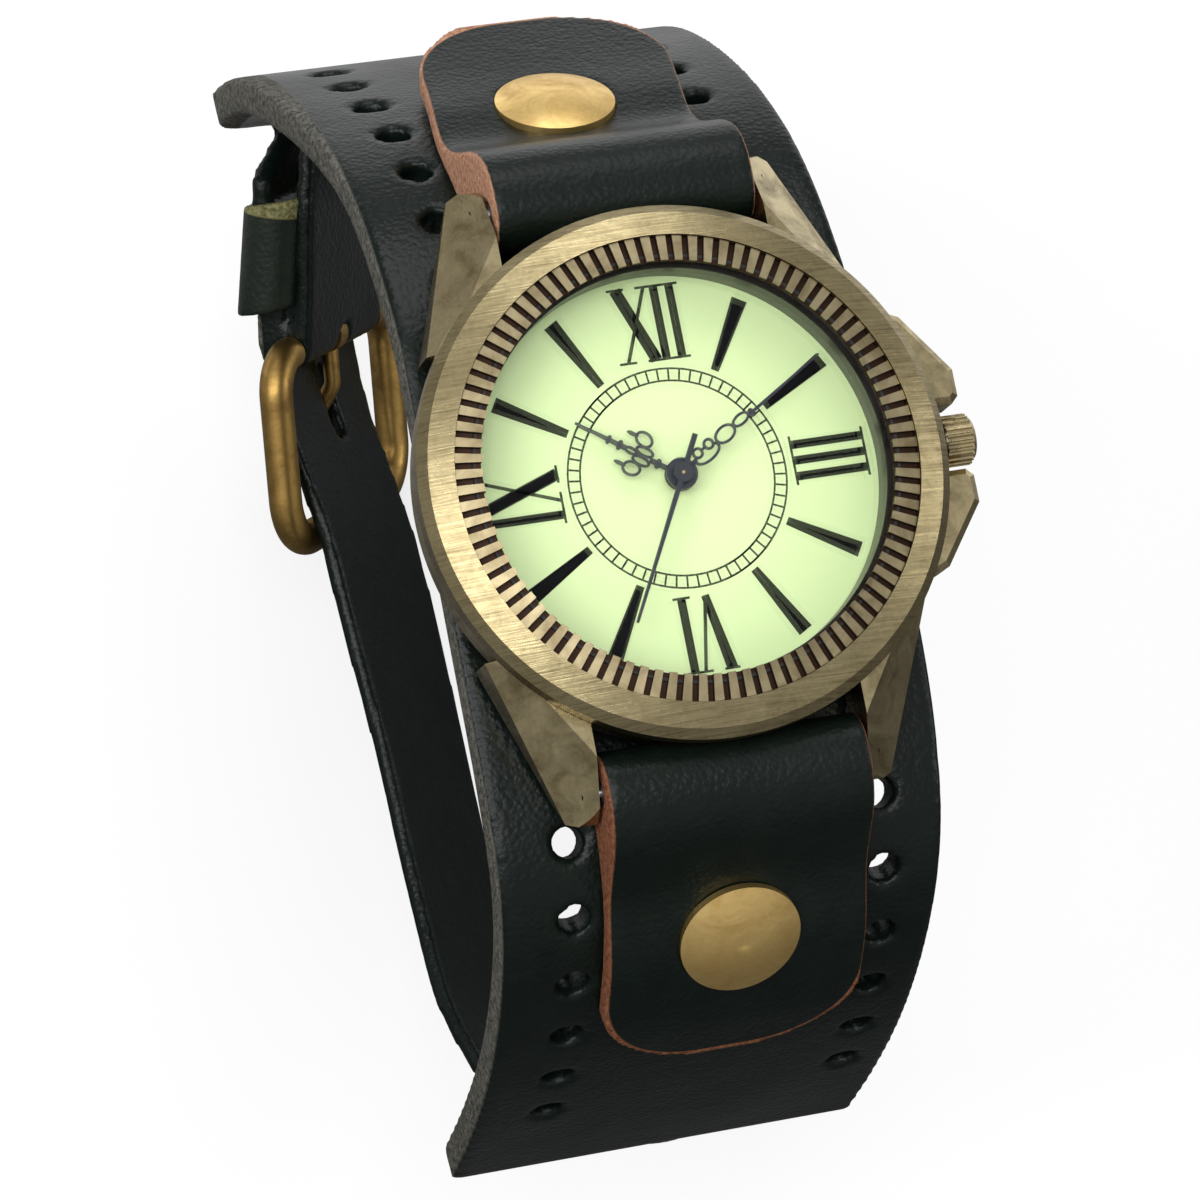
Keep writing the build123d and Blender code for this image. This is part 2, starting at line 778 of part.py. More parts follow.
# Battery and the strip that holds it
with BuildPart() as battery:
    with BuildSketch(at(battery_point, battery_top)):
        Circle(battery_radius)
    extrude(amount=-battery_height)
    chamfer(battery.edges().group_by(Axis.Z)[0], seat_gap)
finish(battery.part, "battery")

with BuildPart() as battery_clamp:
    with BuildSketch(at(battery_point, battery_bottom)):
        SlotCenterToCenter(2 * post_offset, clamp_width, rotation=90)
    extrude(amount=-clamp_thickness)
finish(battery_clamp.part, "battery_clamp")


def wheel(label, point, discs, bore=0):
    """A wheel on its axis: discs of a radius between two heights, and a bore through all of them."""
    with BuildPart() as turned:
        for radius, bottom, top in discs:
            with BuildSketch(at(point, bottom)):
                Circle(radius)
                if bore:
                    Circle(bore, mode=Mode.SUBTRACT)
            extrude(amount=top - bottom)
    finish(turned.part, label)


centre_point = Vector(0, 0)
pivot_low = rim_back - bridge_thickness / 2
low = [level - wheel_thickness for level in levels]
wheel(
    "rotor",
    rotor_point,
    [
        (arbor_radius, pivot_low, plate_back + wheel_thickness),
        (rotor_radius, levels[0] - rotor_length, levels[0]),
        (rotor_pinion_radius - mesh_gap, low[3], levels[3]),
    ],
)
wheel(
    "intermediate_wheel",
    relay_point,
    [
        (relay_pinion_radius - mesh_gap, low[2], levels[2]),
        (arbor_radius + running_gap + hub_wall, levels[3], low[2]),
        (relay_wheel_radius - mesh_gap, low[3], levels[3]),
    ],
    arbor_radius + running_gap,
)
wheel(
    "fourth_wheel",
    centre_point,
    [
        (seconds_pin_radius, pivot_low, second_hand_level + hand_thickness),
        (fourth_pinion_radius - mesh_gap, levels[2], levels[1]),
        (fourth_wheel_radius - mesh_gap, low[2], levels[2]),
    ],
)
wheel(
    "third_wheel",
    third_point,
    [
        (arbor_radius, pivot_low, plate_back + wheel_thickness),
        (third_pinion_radius - mesh_gap, levels[1], levels[0]),
        (third_wheel_radius - mesh_gap, low[1], levels[1]),
    ],
)
wheel(
    "centre_wheel",
    centre_point,
    [
        (pipe_outer[0], levels[0], minute_hand_level),
        (centre_wheel_radius - mesh_gap, low[0], levels[0]),
    ],
    pipe_bore[0],
)
wheel(
    "cannon_pinion",
    centre_point,
    [
        (pipe_outer[1], recess_floor + running_gap, minute_hand_level + hand_thickness),
        (cannon_radius - mesh_gap, recess_floor + running_gap, minute_wheel_top),
    ],
    pipe_bore[1],
)
wheel(
    "minute_wheel",
    minute_point,
    [
        (minute_wheel_radius - mesh_gap, minute_wheel_top - wheel_thickness, minute_wheel_top),
        (minute_pinion_radius - mesh_gap, minute_wheel_top, hour_wheel_top),
    ],
    arbor_radius + running_gap,
)
wheel(
    "hour_wheel",
    centre_point,
    [
        (hour_wheel_radius - mesh_gap, hour_wheel_top - wheel_thickness, hour_wheel_top),
        (pipe_outer[2], hour_wheel_top, hour_hand_level + hand_thickness),
    ],
    pipe_bore[2],
)

# Ring that fills the case round the movement, with a hole for the stem
with BuildPart() as movement_ring:
    with BuildSketch(Plane.XY.offset(dial_back)):
        Circle(cavity_radius - running_gap)
        Circle(movement_radius + seat_gap, mode=Mode.SUBTRACT)
    extrude(amount=case_floor + back_lip_height - dial_back)
    with BuildSketch(stem_line.offset(movement_radius)):
        Circle(tube_bore)
    extrude(amount=cavity_radius - movement_radius, mode=Mode.SUBTRACT)
finish(movement_ring.part, "movement_ring")

# The leather's route, as rows along the centre of its outer face. Each row of shares gives: y as a
# share of the loop's reach, depth under the cuff's face as a share of the loop's depth and, for the
# strap, its lean to nine o'clock and its twist. The wide cuff is flat behind the case, curves to
# each side and is cut square; the narrow strap starts under each end, and is straight from the
# buckle's heel past the keeper.
heel_shares = (0.631, 0.923, 1.065, 1.0)
straight_end_shares = (0.867, 0.82, 0.895, 1.0)
upper_strap_shares = [
    (0.945, 0.785, 0.71, 0.72),
    (0.992, 0.735, 0.45, 0.36),
    (0.984, 0.675, 0.22, 0.1),
    (0.969, 0.61, 0.1, 0.0),
]
upper_shares = [
    (0.270, 0.0),
    (0.380, 0.017),
    (0.511, 0.060),
    (0.656, 0.137),
    (0.798, 0.257),
    (0.913, 0.392),
    (0.993, 0.523),
    (1.024, 0.61),
    (1.038, 0.675),
    (1.049, 0.748),
]
lower_shares = [
    (-0.360, 0.0),
    (-0.490, 0.004),
    (-0.607, 0.023),
    (-0.722, 0.085),
    (-0.829, 0.198),
    (-0.916, 0.350),
    (-0.972, 0.498),
    (-1.007, 0.616),
]
lower_strap_shares = [
    (-0.916, 0.498, 0.05, 0.0),
    (-0.951, 0.616, 0.18, 0.1),
    (-0.953, 0.70, 0.40, 0.36),
    (-0.912, 0.783, 0.60, 0.64),
    (-0.830, 0.858, 0.77, 0.86),
    (-0.72, 0.917, 0.87, 0.96),
    (-0.56, 0.960, 0.90, 1.0),
    (-0.37, 0.987, 0.91, 1.0),
    (-0.17, 0.998, 0.93, 1.0),
    (0.10, 1.0, 0.965, 1.0),
    (0.29, 0.984, 0.99, 1.0),
    (0.39, 0.968, 1.02, 1.0),
    (0.51, 0.947, 1.04, 1.0),
]
# How far the tail has risen over the route, as shares of its rise over the heel, for the last rows
rise_shares = [0.09, 0.31, 0.55, 0.82, 1.0]

# Heights over the short end's outer face, where the strap is folded round the buckle's heel bar:
# the keeper's floor, the folded layer, the strap's tail and the keeper's outer wall
keeper_floor_top = running_gap + keeper_floor
fold_base = keeper_floor_top + running_gap
fold_top = fold_base + fold_thickness
tail_base = fold_top + leather_gap
tail_face = tail_base + strap_thickness
keeper_ceiling = tail_face + seat_gap
eye_bore = heel_bar_radius + running_gap
eye_radius = (fold_top + short_thickness) / 2
eye_height = fold_top - eye_radius


def row_point(row):
    """The centre of the leather's outer face at a row."""
    lean = strap_lean * row[2] if row[2:] else 0
    return Vector(-lean, loop_reach * row[0], -cuff_depth - loop_depth * row[1])


def section_plane(point, along, twist):
    """A section plane: X across the leather, Y out of the loop, Z along the route."""
    level = (Vector(1, 0, 0) - along * along.X).normalized()
    across = level * cos(twist) + along.cross(level) * sin(twist)
    return Plane(origin=point, x_dir=across, z_dir=along)


def route_sections(points, twists):
    """Section planes at the points of a route, each square to the way past its neighbours."""
    planes = []
    for index in range(len(points)):
        before = points[max(index - 1, 0)]
        after = points[min(index + 1, len(points) - 1)]
        way = (after - before).normalized()
        planes.append(section_plane(points[index], way, radians(strap_twist * twists[index])))
    return planes


heel_point = row_point(heel_shares)
straight_end = row_point(straight_end_shares)
straight_run = (straight_end - heel_point).length
straight = (straight_end - heel_point).normalized()
heel_plane = section_plane(heel_point, straight, radians(strap_twist))

# The short end's sections, from the keeper to under the cuff
short_rows = [straight_end_shares] + upper_strap_shares
short_sections = route_sections([row_point(row) for row in short_rows], [row[3] for row in short_rows])
short_sections[0] = heel_plane.offset(straight_run)

# The long end's sections, from under the cuff to the heel. Near the heel they stay square to it
# across, and rise over the fold.
long_rows = lower_strap_shares + [heel_shares]
long_points = [row_point(row) for row in long_rows]
long_sections = route_sections(long_points, [row[3] for row in long_rows])
first_risen = len(long_rows) - len(rise_shares)
for index in range(first_risen, len(long_rows) - 1):
    way = long_sections[index].z_dir
    across = heel_plane.x_dir - way * way.dot(heel_plane.x_dir)
    long_sections[index] = Plane(origin=long_points[index], x_dir=across, z_dir=way)
long_sections[-1] = heel_plane
rises = [0] * first_risen + [tail_face * share for share in rise_shares]

# The cuff's face, as one curve from the middle to each end: flat behind the case, then bent
cuff_points = {1: [row_point(row) for row in upper_shares], -1: [row_point(row) for row in lower_shares]}
cuff_tangents = {}
cuff_curves = {}
for side, spots in cuff_points.items():
    cuff_tangents[side] = (Vector(0, side, 0), spots[-1] - spots[-2])
    bend = Edge.make_spline(spots, tangents=cuff_tangents[side])
    flat = Edge.make_line(row_point((0, 0)), spots[0])
    cuff_curves[side] = Wire([flat, bend])


def on_cuff(side, reach, height=0, offset=0):
    """A plane over the cuff's face at a distance from the middle, to twelve (1) or six (-1)."""
    curve = cuff_curves[side]
    way = curve.tangent_at(reach, position_mode=PositionMode.LENGTH)
    normal = Vector(0, -way.Z, way.Y) * side
    point = curve.position_at(reach, position_mode=PositionMode.LENGTH)
    origin = Vector(offset, point.Y, point.Z) + normal * height
    return Plane(origin=origin, x_dir=Vector(1, 0, 0), z_dir=normal)


rivet_reaches = {1: upper_rivet_reach, -1: lower_rivet_reach}
rivet_planes = [on_cuff(side, reach) for side, reach in rivet_reaches.items()]
punch_planes = []
for side in rivet_reaches:
    for index in range(punch_count):
        for column in (1, -1):
            reach = punch_start + index * punch_pitch
            offset = column * (cuff_width / 2 - punch_inset)
            punch_planes.append(on_cuff(side, reach, offset=offset))

# The frame's plane: X along the heel bar, Y to the far bar, Z out of the loop
eye_centre = heel_point + heel_plane.y_dir * eye_height
far_index = first_risen + 1
far_lift = rises[far_index] + leather_gap + seat_gap + wire_radius
far_point = long_points[far_index] + long_sections[far_index].y_dir * far_lift
frame_way = far_point - eye_centre
frame_way = frame_way - heel_plane.x_dir * frame_way.dot(heel_plane.x_dir)
frame_run = frame_way.length
frame_plane = Plane(
    origin=eye_centre,
    x_dir=heel_plane.x_dir,
    z_dir=heel_plane.x_dir.cross(frame_way.normalized()),
)
eye_plane = Plane(origin=eye_centre, x_dir=straight, z_dir=heel_plane.x_dir)

# Prong, in the frame's plane seen from the side: straight, up through the strap, and level again
# on the far bar
prong_rest = wire_radius + prong_radius + running_gap
prong_bend = frame_run * prong_bend_share
prong_level = frame_run * prong_level_share
prong_ring_radius = eye_bore + prong_ring_wall
prong_width = 2 * prong_radius + seat_gap
tail_near = long_points[-2] + long_sections[-2].y_dir * rises[-2]
tail_way = (heel_point + heel_plane.y_dir * tail_face - tail_near).normalized()
hole_plane = Plane(
    origin=frame_plane.from_local_coords((0, (prong_bend + prong_level) / 2, prong_rest / 2)),
    x_dir=heel_plane.x_dir,
    z_dir=tail_way.cross(heel_plane.x_dir),
)

# Cuff band: the wide cuff with the strap's two ends under it. The short end runs straight to the
# eye round the heel bar and folds back, and the long end's tail runs straight over the fold.
with BuildPart() as cuff_band:
    with BuildSketch(Plane.YZ):
        with BuildLine():
            flat_ends = []
            for side, spots in cuff_points.items():
                flat_reach = abs(spots[0].Y)
                bend_length = cuff_curves[side].length - flat_reach
                inside = [on_cuff(side, flat_reach + bend_length * share, -cuff_thickness).origin
                          for share in bend_shares]
                for line in (spots, inside):
                    Spline(
                        [(spot.Y, spot.Z) for spot in line],
                        tangents=[(side, 0), (cuff_tangents[side][1].Y, cuff_tangents[side][1].Z)],
                    )
                Line((spots[-1].Y, spots[-1].Z), (inside[-1].Y, inside[-1].Z))
                flat_ends.append((spots[0], inside[0]))
            for near, far in zip(*flat_ends):
                Line((near.Y, near.Z), (far.Y, far.Z))
        make_face()
    extrude(amount=cuff_width / 2, both=True)
    long_edges = cuff_band.edges().filter_by(Axis.X, reverse=True)
    fillet(long_edges.filter_by(lambda edge: abs(edge.center().X) > strap_width / 2), edge_round)
    for plane in short_sections:
        with BuildSketch(plane):
            with Locations((0, -short_thickness / 2)):
                RectangleRounded(strap_width, short_thickness, edge_round)
    loft(ruled=True)
    for index in range(len(long_sections)):
        with BuildSketch(long_sections[index]):
            with Locations((0, rises[index] - strap_thickness / 2)):
                RectangleRounded(strap_width, strap_thickness, edge_round)
    loft()
    for face, thickness, run in (
        (0, short_thickness, straight_run),
        (fold_top, fold_thickness, straight_run),
        (tail_face, strap_thickness, straight_run + tail_run_on),
    ):
        with BuildSketch(heel_plane):
            with Locations((0, face - thickness / 2)):
                RectangleRounded(strap_width, thickness, edge_round)
        extrude(amount=run)
    with BuildSketch(heel_plane.offset(straight_run + tail_run_on)):
        with Locations((0, tail_face - strap_thickness / 2)):
            RectangleRounded(strap_width, strap_thickness, edge_round)
    with BuildSketch(heel_plane.offset(straight_run + tail_run_on + tail_tip)):
        with Locations((0, tail_face - strap_thickness / 2)):
            RectangleRounded(strap_width * tail_tip_share, strap_thickness, edge_round)
    loft()
    with BuildSketch(eye_plane):
        Circle(eye_radius)
    extrude(amount=strap_width / 2, both=True)
    with BuildSketch(eye_plane):
        Circle(eye_bore)
    extrude(amount=strap_width, both=True, mode=Mode.SUBTRACT)
    with BuildSketch(eye_plane):
        Circle(eye_radius + running_gap)
    extrude(amount=prong_width / 2 + seat_gap, both=True, mode=Mode.SUBTRACT)
    with BuildSketch(hole_plane):
        SlotOverall(prong_hole_length, prong_width + 2 * leather_gap, rotation=90)
    extrude(amount=strap_thickness, both=True, mode=Mode.SUBTRACT)
    with BuildSketch(*[plane.offset(-cuff_thickness) for plane in rivet_planes]):
        Circle(rivet_base_radius + running_gap)
    extrude(amount=-cuff_thickness, mode=Mode.SUBTRACT)
    with BuildSketch(*punch_planes):
        Circle(punch_radius)
    extrude(amount=cuff_thickness + overrun, both=True, mode=Mode.SUBTRACT)
    with BuildSketch(*rivet_planes):
        Circle(rivet_post_radius + running_gap)
    extrude(amount=cuff_thickness + overrun, both=True, mode=Mode.SUBTRACT)
finish(cuff_band.part, "cuff_band")

# Tabs: each goes round its spring bar and runs along the cuff under its rivet to a rounded end
tab_lifts = {1: upper_tab_lift, -1: 0}
labels = {1: "upper", -1: "lower"}
for side, label in labels.items():
    reaches = [rivet_reaches[side] + tab_run * share for share in tab_shares]
    under = []
    over = []
    for reach in reaches:
        lift = running_gap + tab_lifts[side] * (max(reach - rivet_reaches[side], 0) / tab_run) ** 2
        under.append(on_cuff(side, reach, lift).origin)
        over.append(on_cuff(side, reach, lift + tab_thickness).origin)
    end_way = over[-1] - over[-2]
    rivet_plane = on_cuff(side, rivet_reaches[side])
    end_reach = (over[-1] - rivet_plane.origin).dot(rivet_plane.y_dir)
    with BuildPart() as tab:
        with BuildSketch(Plane.YZ):
            with BuildLine():
                Spline(
                    [(side * bar_reach, bar_axis + ring_radius)] + [(spot.Y, spot.Z) for spot in over[2:]],
                    tangents=[(side, 0), (end_way.Y, end_way.Z)],
                )
                Line((over[-1].Y, over[-1].Z), (under[-1].Y, under[-1].Z))
                Spline([(spot.Y, spot.Z) for spot in reversed(under)])
                Polyline(
                    (under[0].Y, under[0].Z),
                    (side * bar_reach, bar_axis - ring_radius),
                    (side * bar_reach, bar_axis + ring_radius),
                )
            make_face()
            with Locations((side * bar_reach, bar_axis)):
                Circle(ring_radius)
                Circle(bar_radius + running_gap, mode=Mode.SUBTRACT)
        extrude(amount=tab_width / 2, both=True)
        with BuildSketch(rivet_plane):
            with Locations((0, end_reach - side * loop_reach / 2)):
                RectangleRounded(tab_width, loop_reach, tab_corner)
        extrude(amount=loop_reach, both=True, mode=Mode.INTERSECT)
        with BuildSketch(rivet_plane):
            Circle(rivet_post_radius + running_gap)
        extrude(amount=loop_reach / 2, both=True, mode=Mode.SUBTRACT)
        with BuildSketch(rivet_plane.offset(tab_thickness - rivet_sink)):
            Circle(rivet_radius + running_gap)
        extrude(amount=loop_reach / 2, mode=Mode.SUBTRACT)
    finish(tab.part, label + "_tab")

    # Rivet through the tab and the cuff: a domed cap with its post, and a flat base inside
    cap_plane = rivet_plane.offset(tab_thickness - rivet_sink)
    cap_side = Plane(origin=cap_plane.origin, x_dir=cap_plane.x_dir, z_dir=cap_plane.y_dir * -1)
    with BuildPart() as rivet_cap:
        with BuildSketch(cap_side):
            with BuildLine():
                Polyline((0, rivet_dome), (0, 0), (rivet_radius, 0), (rivet_radius, rivet_edge))
                TangentArc((0, rivet_dome), (rivet_radius, rivet_edge), tangent=(1, 0))
            make_face()
        revolve(axis=Axis(cap_plane.origin, cap_plane.z_dir))
        with BuildSketch(cap_plane):
            Circle(rivet_post_radius)
        extrude(amount=rivet_sink - tab_thickness - cuff_thickness - rivet_base_thickness)
    finish(rivet_cap.part, label + "_rivet_cap")
    with BuildPart() as rivet_base:
        with BuildSketch(rivet_plane.offset(-cuff_thickness)):
            Circle(rivet_base_radius)
            Circle(rivet_post_radius + running_gap, mode=Mode.SUBTRACT)
        extrude(amount=-rivet_base_thickness)
    finish(rivet_base.part, label + "_rivet_base")

# Keeper: a fixed loop whose floor lies between the short end and its fold
keeper_opening = strap_width + 2 * seat_gap
keeper_top = keeper_ceiling + keeper_wall
with BuildPart() as keeper:
    with BuildSketch(heel_plane.offset(keeper_start)):
        with Locations((0, (running_gap + keeper_top) / 2)):
            RectangleRounded(keeper_opening + 2 * keeper_wall, keeper_top - running_gap, keeper_corner)
        with Locations((0, (keeper_floor_top + keeper_ceiling) / 2)):
            Rectangle(keeper_opening, keeper_ceiling - keeper_floor_top, mode=Mode.SUBTRACT)
    extrude(amount=keeper_length)
finish(keeper.part, "keeper")

# Buckle frame: one bent wire, thinner where it passes through the strap's eye
frame_half = strap_width / 2 + frame_side_gap + wire_radius
wire_end = strap_width / 2 + seat_gap
with BuildPart() as buckle_frame:
    with BuildLine(frame_plane):
        FilletPolyline(
            (-wire_end, 0),
            (-frame_half, 0),
            (-frame_half, frame_run),
            (frame_half, frame_run),
            (frame_half, 0),
            (wire_end, 0),
            radius=(frame_heel_corner, frame_far_corner, frame_far_corner, frame_heel_corner),
        )
    with BuildSketch(eye_plane.offset(-wire_end)):
        Circle(wire_radius)
    sweep()
    with BuildSketch(eye_plane):
        Circle(heel_bar_radius)
    extrude(amount=wire_end, both=True)
finish(buckle_frame.part, "buckle_frame")

# Prong: a ring round the heel bar and a wire that rises through the strap to rest on the far bar
prong_side = Plane(origin=eye_centre, x_dir=frame_plane.y_dir, z_dir=heel_plane.x_dir)
prong_start = eye_centre + frame_plane.y_dir * (eye_bore + prong_ring_wall / 2)
with BuildPart() as buckle_prong:
    with BuildLine(prong_side):
        FilletPolyline(
            (eye_bore + prong_ring_wall / 2, 0),
            (prong_bend, 0),
            (prong_level, prong_rest),
            (frame_run + wire_radius, prong_rest),
            radius=prong_corner,
        )
    with BuildSketch(Plane(origin=prong_start, z_dir=prong_side.x_dir)):
        Circle(prong_radius)
    sweep()
    with BuildSketch(eye_plane):
        Circle(prong_ring_radius)
    extrude(amount=prong_width / 2, both=True)
    with BuildSketch(eye_plane):
        Circle(eye_bore)
    extrude(amount=prong_width, both=True, mode=Mode.SUBTRACT)
finish(buckle_prong.part, "buckle_prong")
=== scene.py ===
# %% [markdown]
# # A round watch on a wide leather cuff
#
# The solids of this watch come from its CAD model, packed in metres. Blender adds what CAD leaves
# out: leather that looks cut and punched, brushed and aged metal, and the print on the dial.
# The first cell loads the imported model, which stays where it is, and keeps its box. The origin lies
# on the wrist's side of the cuff, and the dial 7.6 mm over it.

# %% Load the frame
import json
import math
import bpy
from mathutils import Matrix, Vector

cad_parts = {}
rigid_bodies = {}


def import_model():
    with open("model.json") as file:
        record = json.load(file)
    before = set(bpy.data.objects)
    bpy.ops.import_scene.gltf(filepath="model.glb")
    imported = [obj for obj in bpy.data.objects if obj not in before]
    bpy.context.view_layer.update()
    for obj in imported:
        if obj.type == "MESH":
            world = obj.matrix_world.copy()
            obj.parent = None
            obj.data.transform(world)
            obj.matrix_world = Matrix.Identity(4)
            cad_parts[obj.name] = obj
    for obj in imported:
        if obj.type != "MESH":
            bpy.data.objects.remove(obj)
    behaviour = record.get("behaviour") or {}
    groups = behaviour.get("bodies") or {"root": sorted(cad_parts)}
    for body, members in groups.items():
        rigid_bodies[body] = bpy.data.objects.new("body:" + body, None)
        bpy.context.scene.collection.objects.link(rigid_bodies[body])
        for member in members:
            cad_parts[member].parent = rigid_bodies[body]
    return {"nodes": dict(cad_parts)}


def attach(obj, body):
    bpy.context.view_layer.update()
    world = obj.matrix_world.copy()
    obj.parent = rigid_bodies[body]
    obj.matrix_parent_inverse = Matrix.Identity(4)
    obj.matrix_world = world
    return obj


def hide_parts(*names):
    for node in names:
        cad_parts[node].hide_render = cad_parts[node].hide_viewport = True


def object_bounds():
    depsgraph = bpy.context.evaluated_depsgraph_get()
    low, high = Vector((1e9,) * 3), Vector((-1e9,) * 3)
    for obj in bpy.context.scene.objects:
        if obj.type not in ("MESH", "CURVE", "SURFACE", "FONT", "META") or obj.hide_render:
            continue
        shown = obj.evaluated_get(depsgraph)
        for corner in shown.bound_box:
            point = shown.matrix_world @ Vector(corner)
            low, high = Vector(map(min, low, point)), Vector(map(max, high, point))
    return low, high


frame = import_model()
cad_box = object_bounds()
MM = 0.001
dial_height = 7.6 * MM
print("nodes in the frame:", len(frame["nodes"]))

# %% [markdown]
# ## Camera
#
# The photograph was taken from above and to the left of the dial, with a long lens. Its place was
# solved from the dial's circles, so the camera is set by the directions of its own three axes.
# A 150 mm lens on a 36 mm sensor gives the same narrow view.

# %% Camera
camera_right = Vector((0.95723, -0.18868, 0.21932))
camera_up = Vector((0.14428, 0.96841, 0.20341))
camera_back = Vector((-0.25077, -0.16306, 0.95421))
camera_place = Vector((-98.74, -67.43, 354.52)) * MM
bpy.ops.object.select_all(action="DESELECT")
bpy.ops.object.camera_add()
camera = bpy.context.object
camera.name = "camera"
camera.data.sensor_width = 36
camera.data.lens = 150
camera.data.clip_start = 0.01
turn = Matrix((camera_right, camera_up, camera_back)).transposed().to_4x4()
camera.matrix_world = Matrix.Translation(camera_place) @ turn
bpy.context.scene.camera = camera

# %% [markdown]
# ## Helpers for materials
#
# A material, the world and a node group are all trees of nodes. The first helper opens a material's
# tree. The others add one node, set it and give its output, so that a formula reads as one line.

# %% Helpers for a tree of nodes


def nodes_of(material):
    """Give the nodes, the links and the main shader of a material."""
    material.use_nodes = True
    tree = material.node_tree
    return tree.nodes, tree.links, tree.nodes.get("Principled BSDF")


def maths(tree, operation, first, second=None, third=None):
    """A maths node whose inputs are numbers or sockets; it gives its output."""
    node = tree.nodes.new("ShaderNodeMath")
    node.operation = operation
    for index, value in enumerate((first, second, third)):
        if value is None:
            continue
        if isinstance(value, (int, float)):
            node.inputs[index].default_value = value
        else:
            tree.links.new(value, node.inputs[index])
    return node.outputs[0]


def ranged(tree, value, low, high, out_low=0.0, out_high=1.0, smooth=False):
    """Map a value from one range to another, held at the ends."""
    node = tree.nodes.new("ShaderNodeMapRange")
    node.interpolation_type = "SMOOTHSTEP" if smooth else "LINEAR"
    for socket, number in (("From Min", low), ("From Max", high), ("To Min", out_low), ("To Max", out_high)):
        node.inputs[socket].default_value = number
    tree.links.new(value, node.inputs["Value"])
    return node.outputs[0]


# %% [markdown]
# ## Floor, lamps and world
#
# The watch stands on the buckle side of its strap, so the floor lies just under the lowest solid.
# The floor is white to the camera and through glass, and it keeps a soft shadow. To other rays its
# half towards six o'clock is dark, and so is the low part of the world, so that black leather stays
# black. Rays that bounce off a glossy surface find a grey room at the least. Large lamps give the
# long sheens on leather.

# %% Floor
floor_gap = 0.2 * MM
floor_height = cad_box[0][2] - floor_gap
bpy.ops.mesh.primitive_plane_add(size=6, location=(0, 0, floor_height))
floor = bpy.context.object
floor.name = "floor"
dark_until = 0.0
pale_from = 0.12
dark_tone = 0.12
pale_tone = 0.9
glow_share = 0.75
floor_paint = bpy.data.materials.new("floor_paint")
nodes, links, shader = nodes_of(floor_paint)
tree = floor_paint.node_tree
shader.inputs["Roughness"].default_value = 0.9
shader.inputs["Specular IOR Level"].default_value = 0.1
glow = nodes.new("ShaderNodeEmission")
glow.inputs["Color"].default_value = (1, 1, 1, 1)
path = nodes.new("ShaderNodeLightPath")
split = nodes.new("ShaderNodeSeparateXYZ")
links.new(nodes.new("ShaderNodeTexCoord").outputs["Object"], split.inputs[0])
tone = ranged(tree, split.outputs[1], dark_until, pale_from, dark_tone, pale_tone, smooth=True)
seen = maths(tree, "MAXIMUM", path.outputs["Is Camera Ray"], path.outputs["Is Transmission Ray"])
links.new(maths(tree, "MAXIMUM", tone, seen), shader.inputs["Base Color"])
mix = nodes.new("ShaderNodeMixShader")
links.new(maths(tree, "MULTIPLY", seen, glow_share), mix.inputs["Fac"])
links.new(shader.outputs[0], mix.inputs[1])
links.new(glow.outputs[0], mix.inputs[2])
links.new(mix.outputs[0], nodes["Material Output"].inputs["Surface"])
floor.data.materials.append(floor_paint)

# %% World
room_in_metal = 0.3
world = bpy.data.worlds.new("studio")
bpy.context.scene.world = world
world.use_nodes = True
tree = world.node_tree
sky = tree.nodes["Background"]
sky.inputs["Color"].default_value = (1, 1, 1, 1)
split = tree.nodes.new("ShaderNodeSeparateXYZ")
tree.links.new(tree.nodes.new("ShaderNodeTexCoord").outputs["Generated"], split.inputs[0])
dome = ranged(tree, split.outputs[2], low=0.1, high=0.6, out_low=0.02, out_high=0.55, smooth=True)
path = tree.nodes.new("ShaderNodeLightPath")
camera_ray = path.outputs["Is Camera Ray"]
seen = maths(tree, "MULTIPLY_ADD", path.outputs["Is Glossy Ray"], room_in_metal, camera_ray)
seen = maths(tree, "MAXIMUM", seen, path.outputs["Is Transmission Ray"])
tree.links.new(maths(tree, "MAXIMUM", dome, seen), sky.inputs["Strength"])

# %% Lamps


def lamp(name, place, target, size, power):
    """A square lamp at a place, facing a target."""
    bpy.ops.object.light_add(type="AREA", location=place)
    light = bpy.context.object
    light.name = name
    light.data.size = size
    light.data.energy = power
    light.rotation_euler = (Vector(target) - Vector(place)).to_track_quat("-Z", "Y").to_euler()


watch_middle = (0, 0, -0.012)
lamp("lamp_behind", (0.05, 0.55, 0.35), (0, 0.2, -0.06), size=0.35, power=1.1)
lamp("lamp_left", (-0.5, 0.05, 0.5), watch_middle, size=0.32, power=2.0)
lamp("lamp_right", (0.6, 0.0, 0.3), watch_middle, size=0.25, power=0.6)
lamp("lamp_above", (-0.18, 0.0, 0.8), watch_middle, size=0.4, power=2.3)
bpy.context.scene.view_settings.view_transform = "Standard"

# %% [markdown]
# ## Shared effects
#
# Grain, scratches, stains and cut edges are each a node group: a small machine with named inputs
# and outputs, which any finish can hold. The finish itself keeps the shader and sets the group's
# values. All of them read object coordinates, in metres, so a pattern keeps its real size and
# stays on its piece.

# %% Helpers for node groups


def effect(name, inputs, outputs):
    """A node group with sockets: inputs as (name, type, value), outputs as (name, type)."""
    tree = bpy.data.node_groups.new(name, "ShaderNodeTree")
    for label, kind, value in inputs:
        socket = tree.interface.new_socket(label, in_out="INPUT", socket_type=kind)
        if value is not None:
            socket.default_value = value
    for label, kind in outputs:
        tree.interface.new_socket(label, in_out="OUTPUT", socket_type=kind)
    return tree, tree.nodes.new("NodeGroupInput"), tree.nodes.new("NodeGroupOutput")


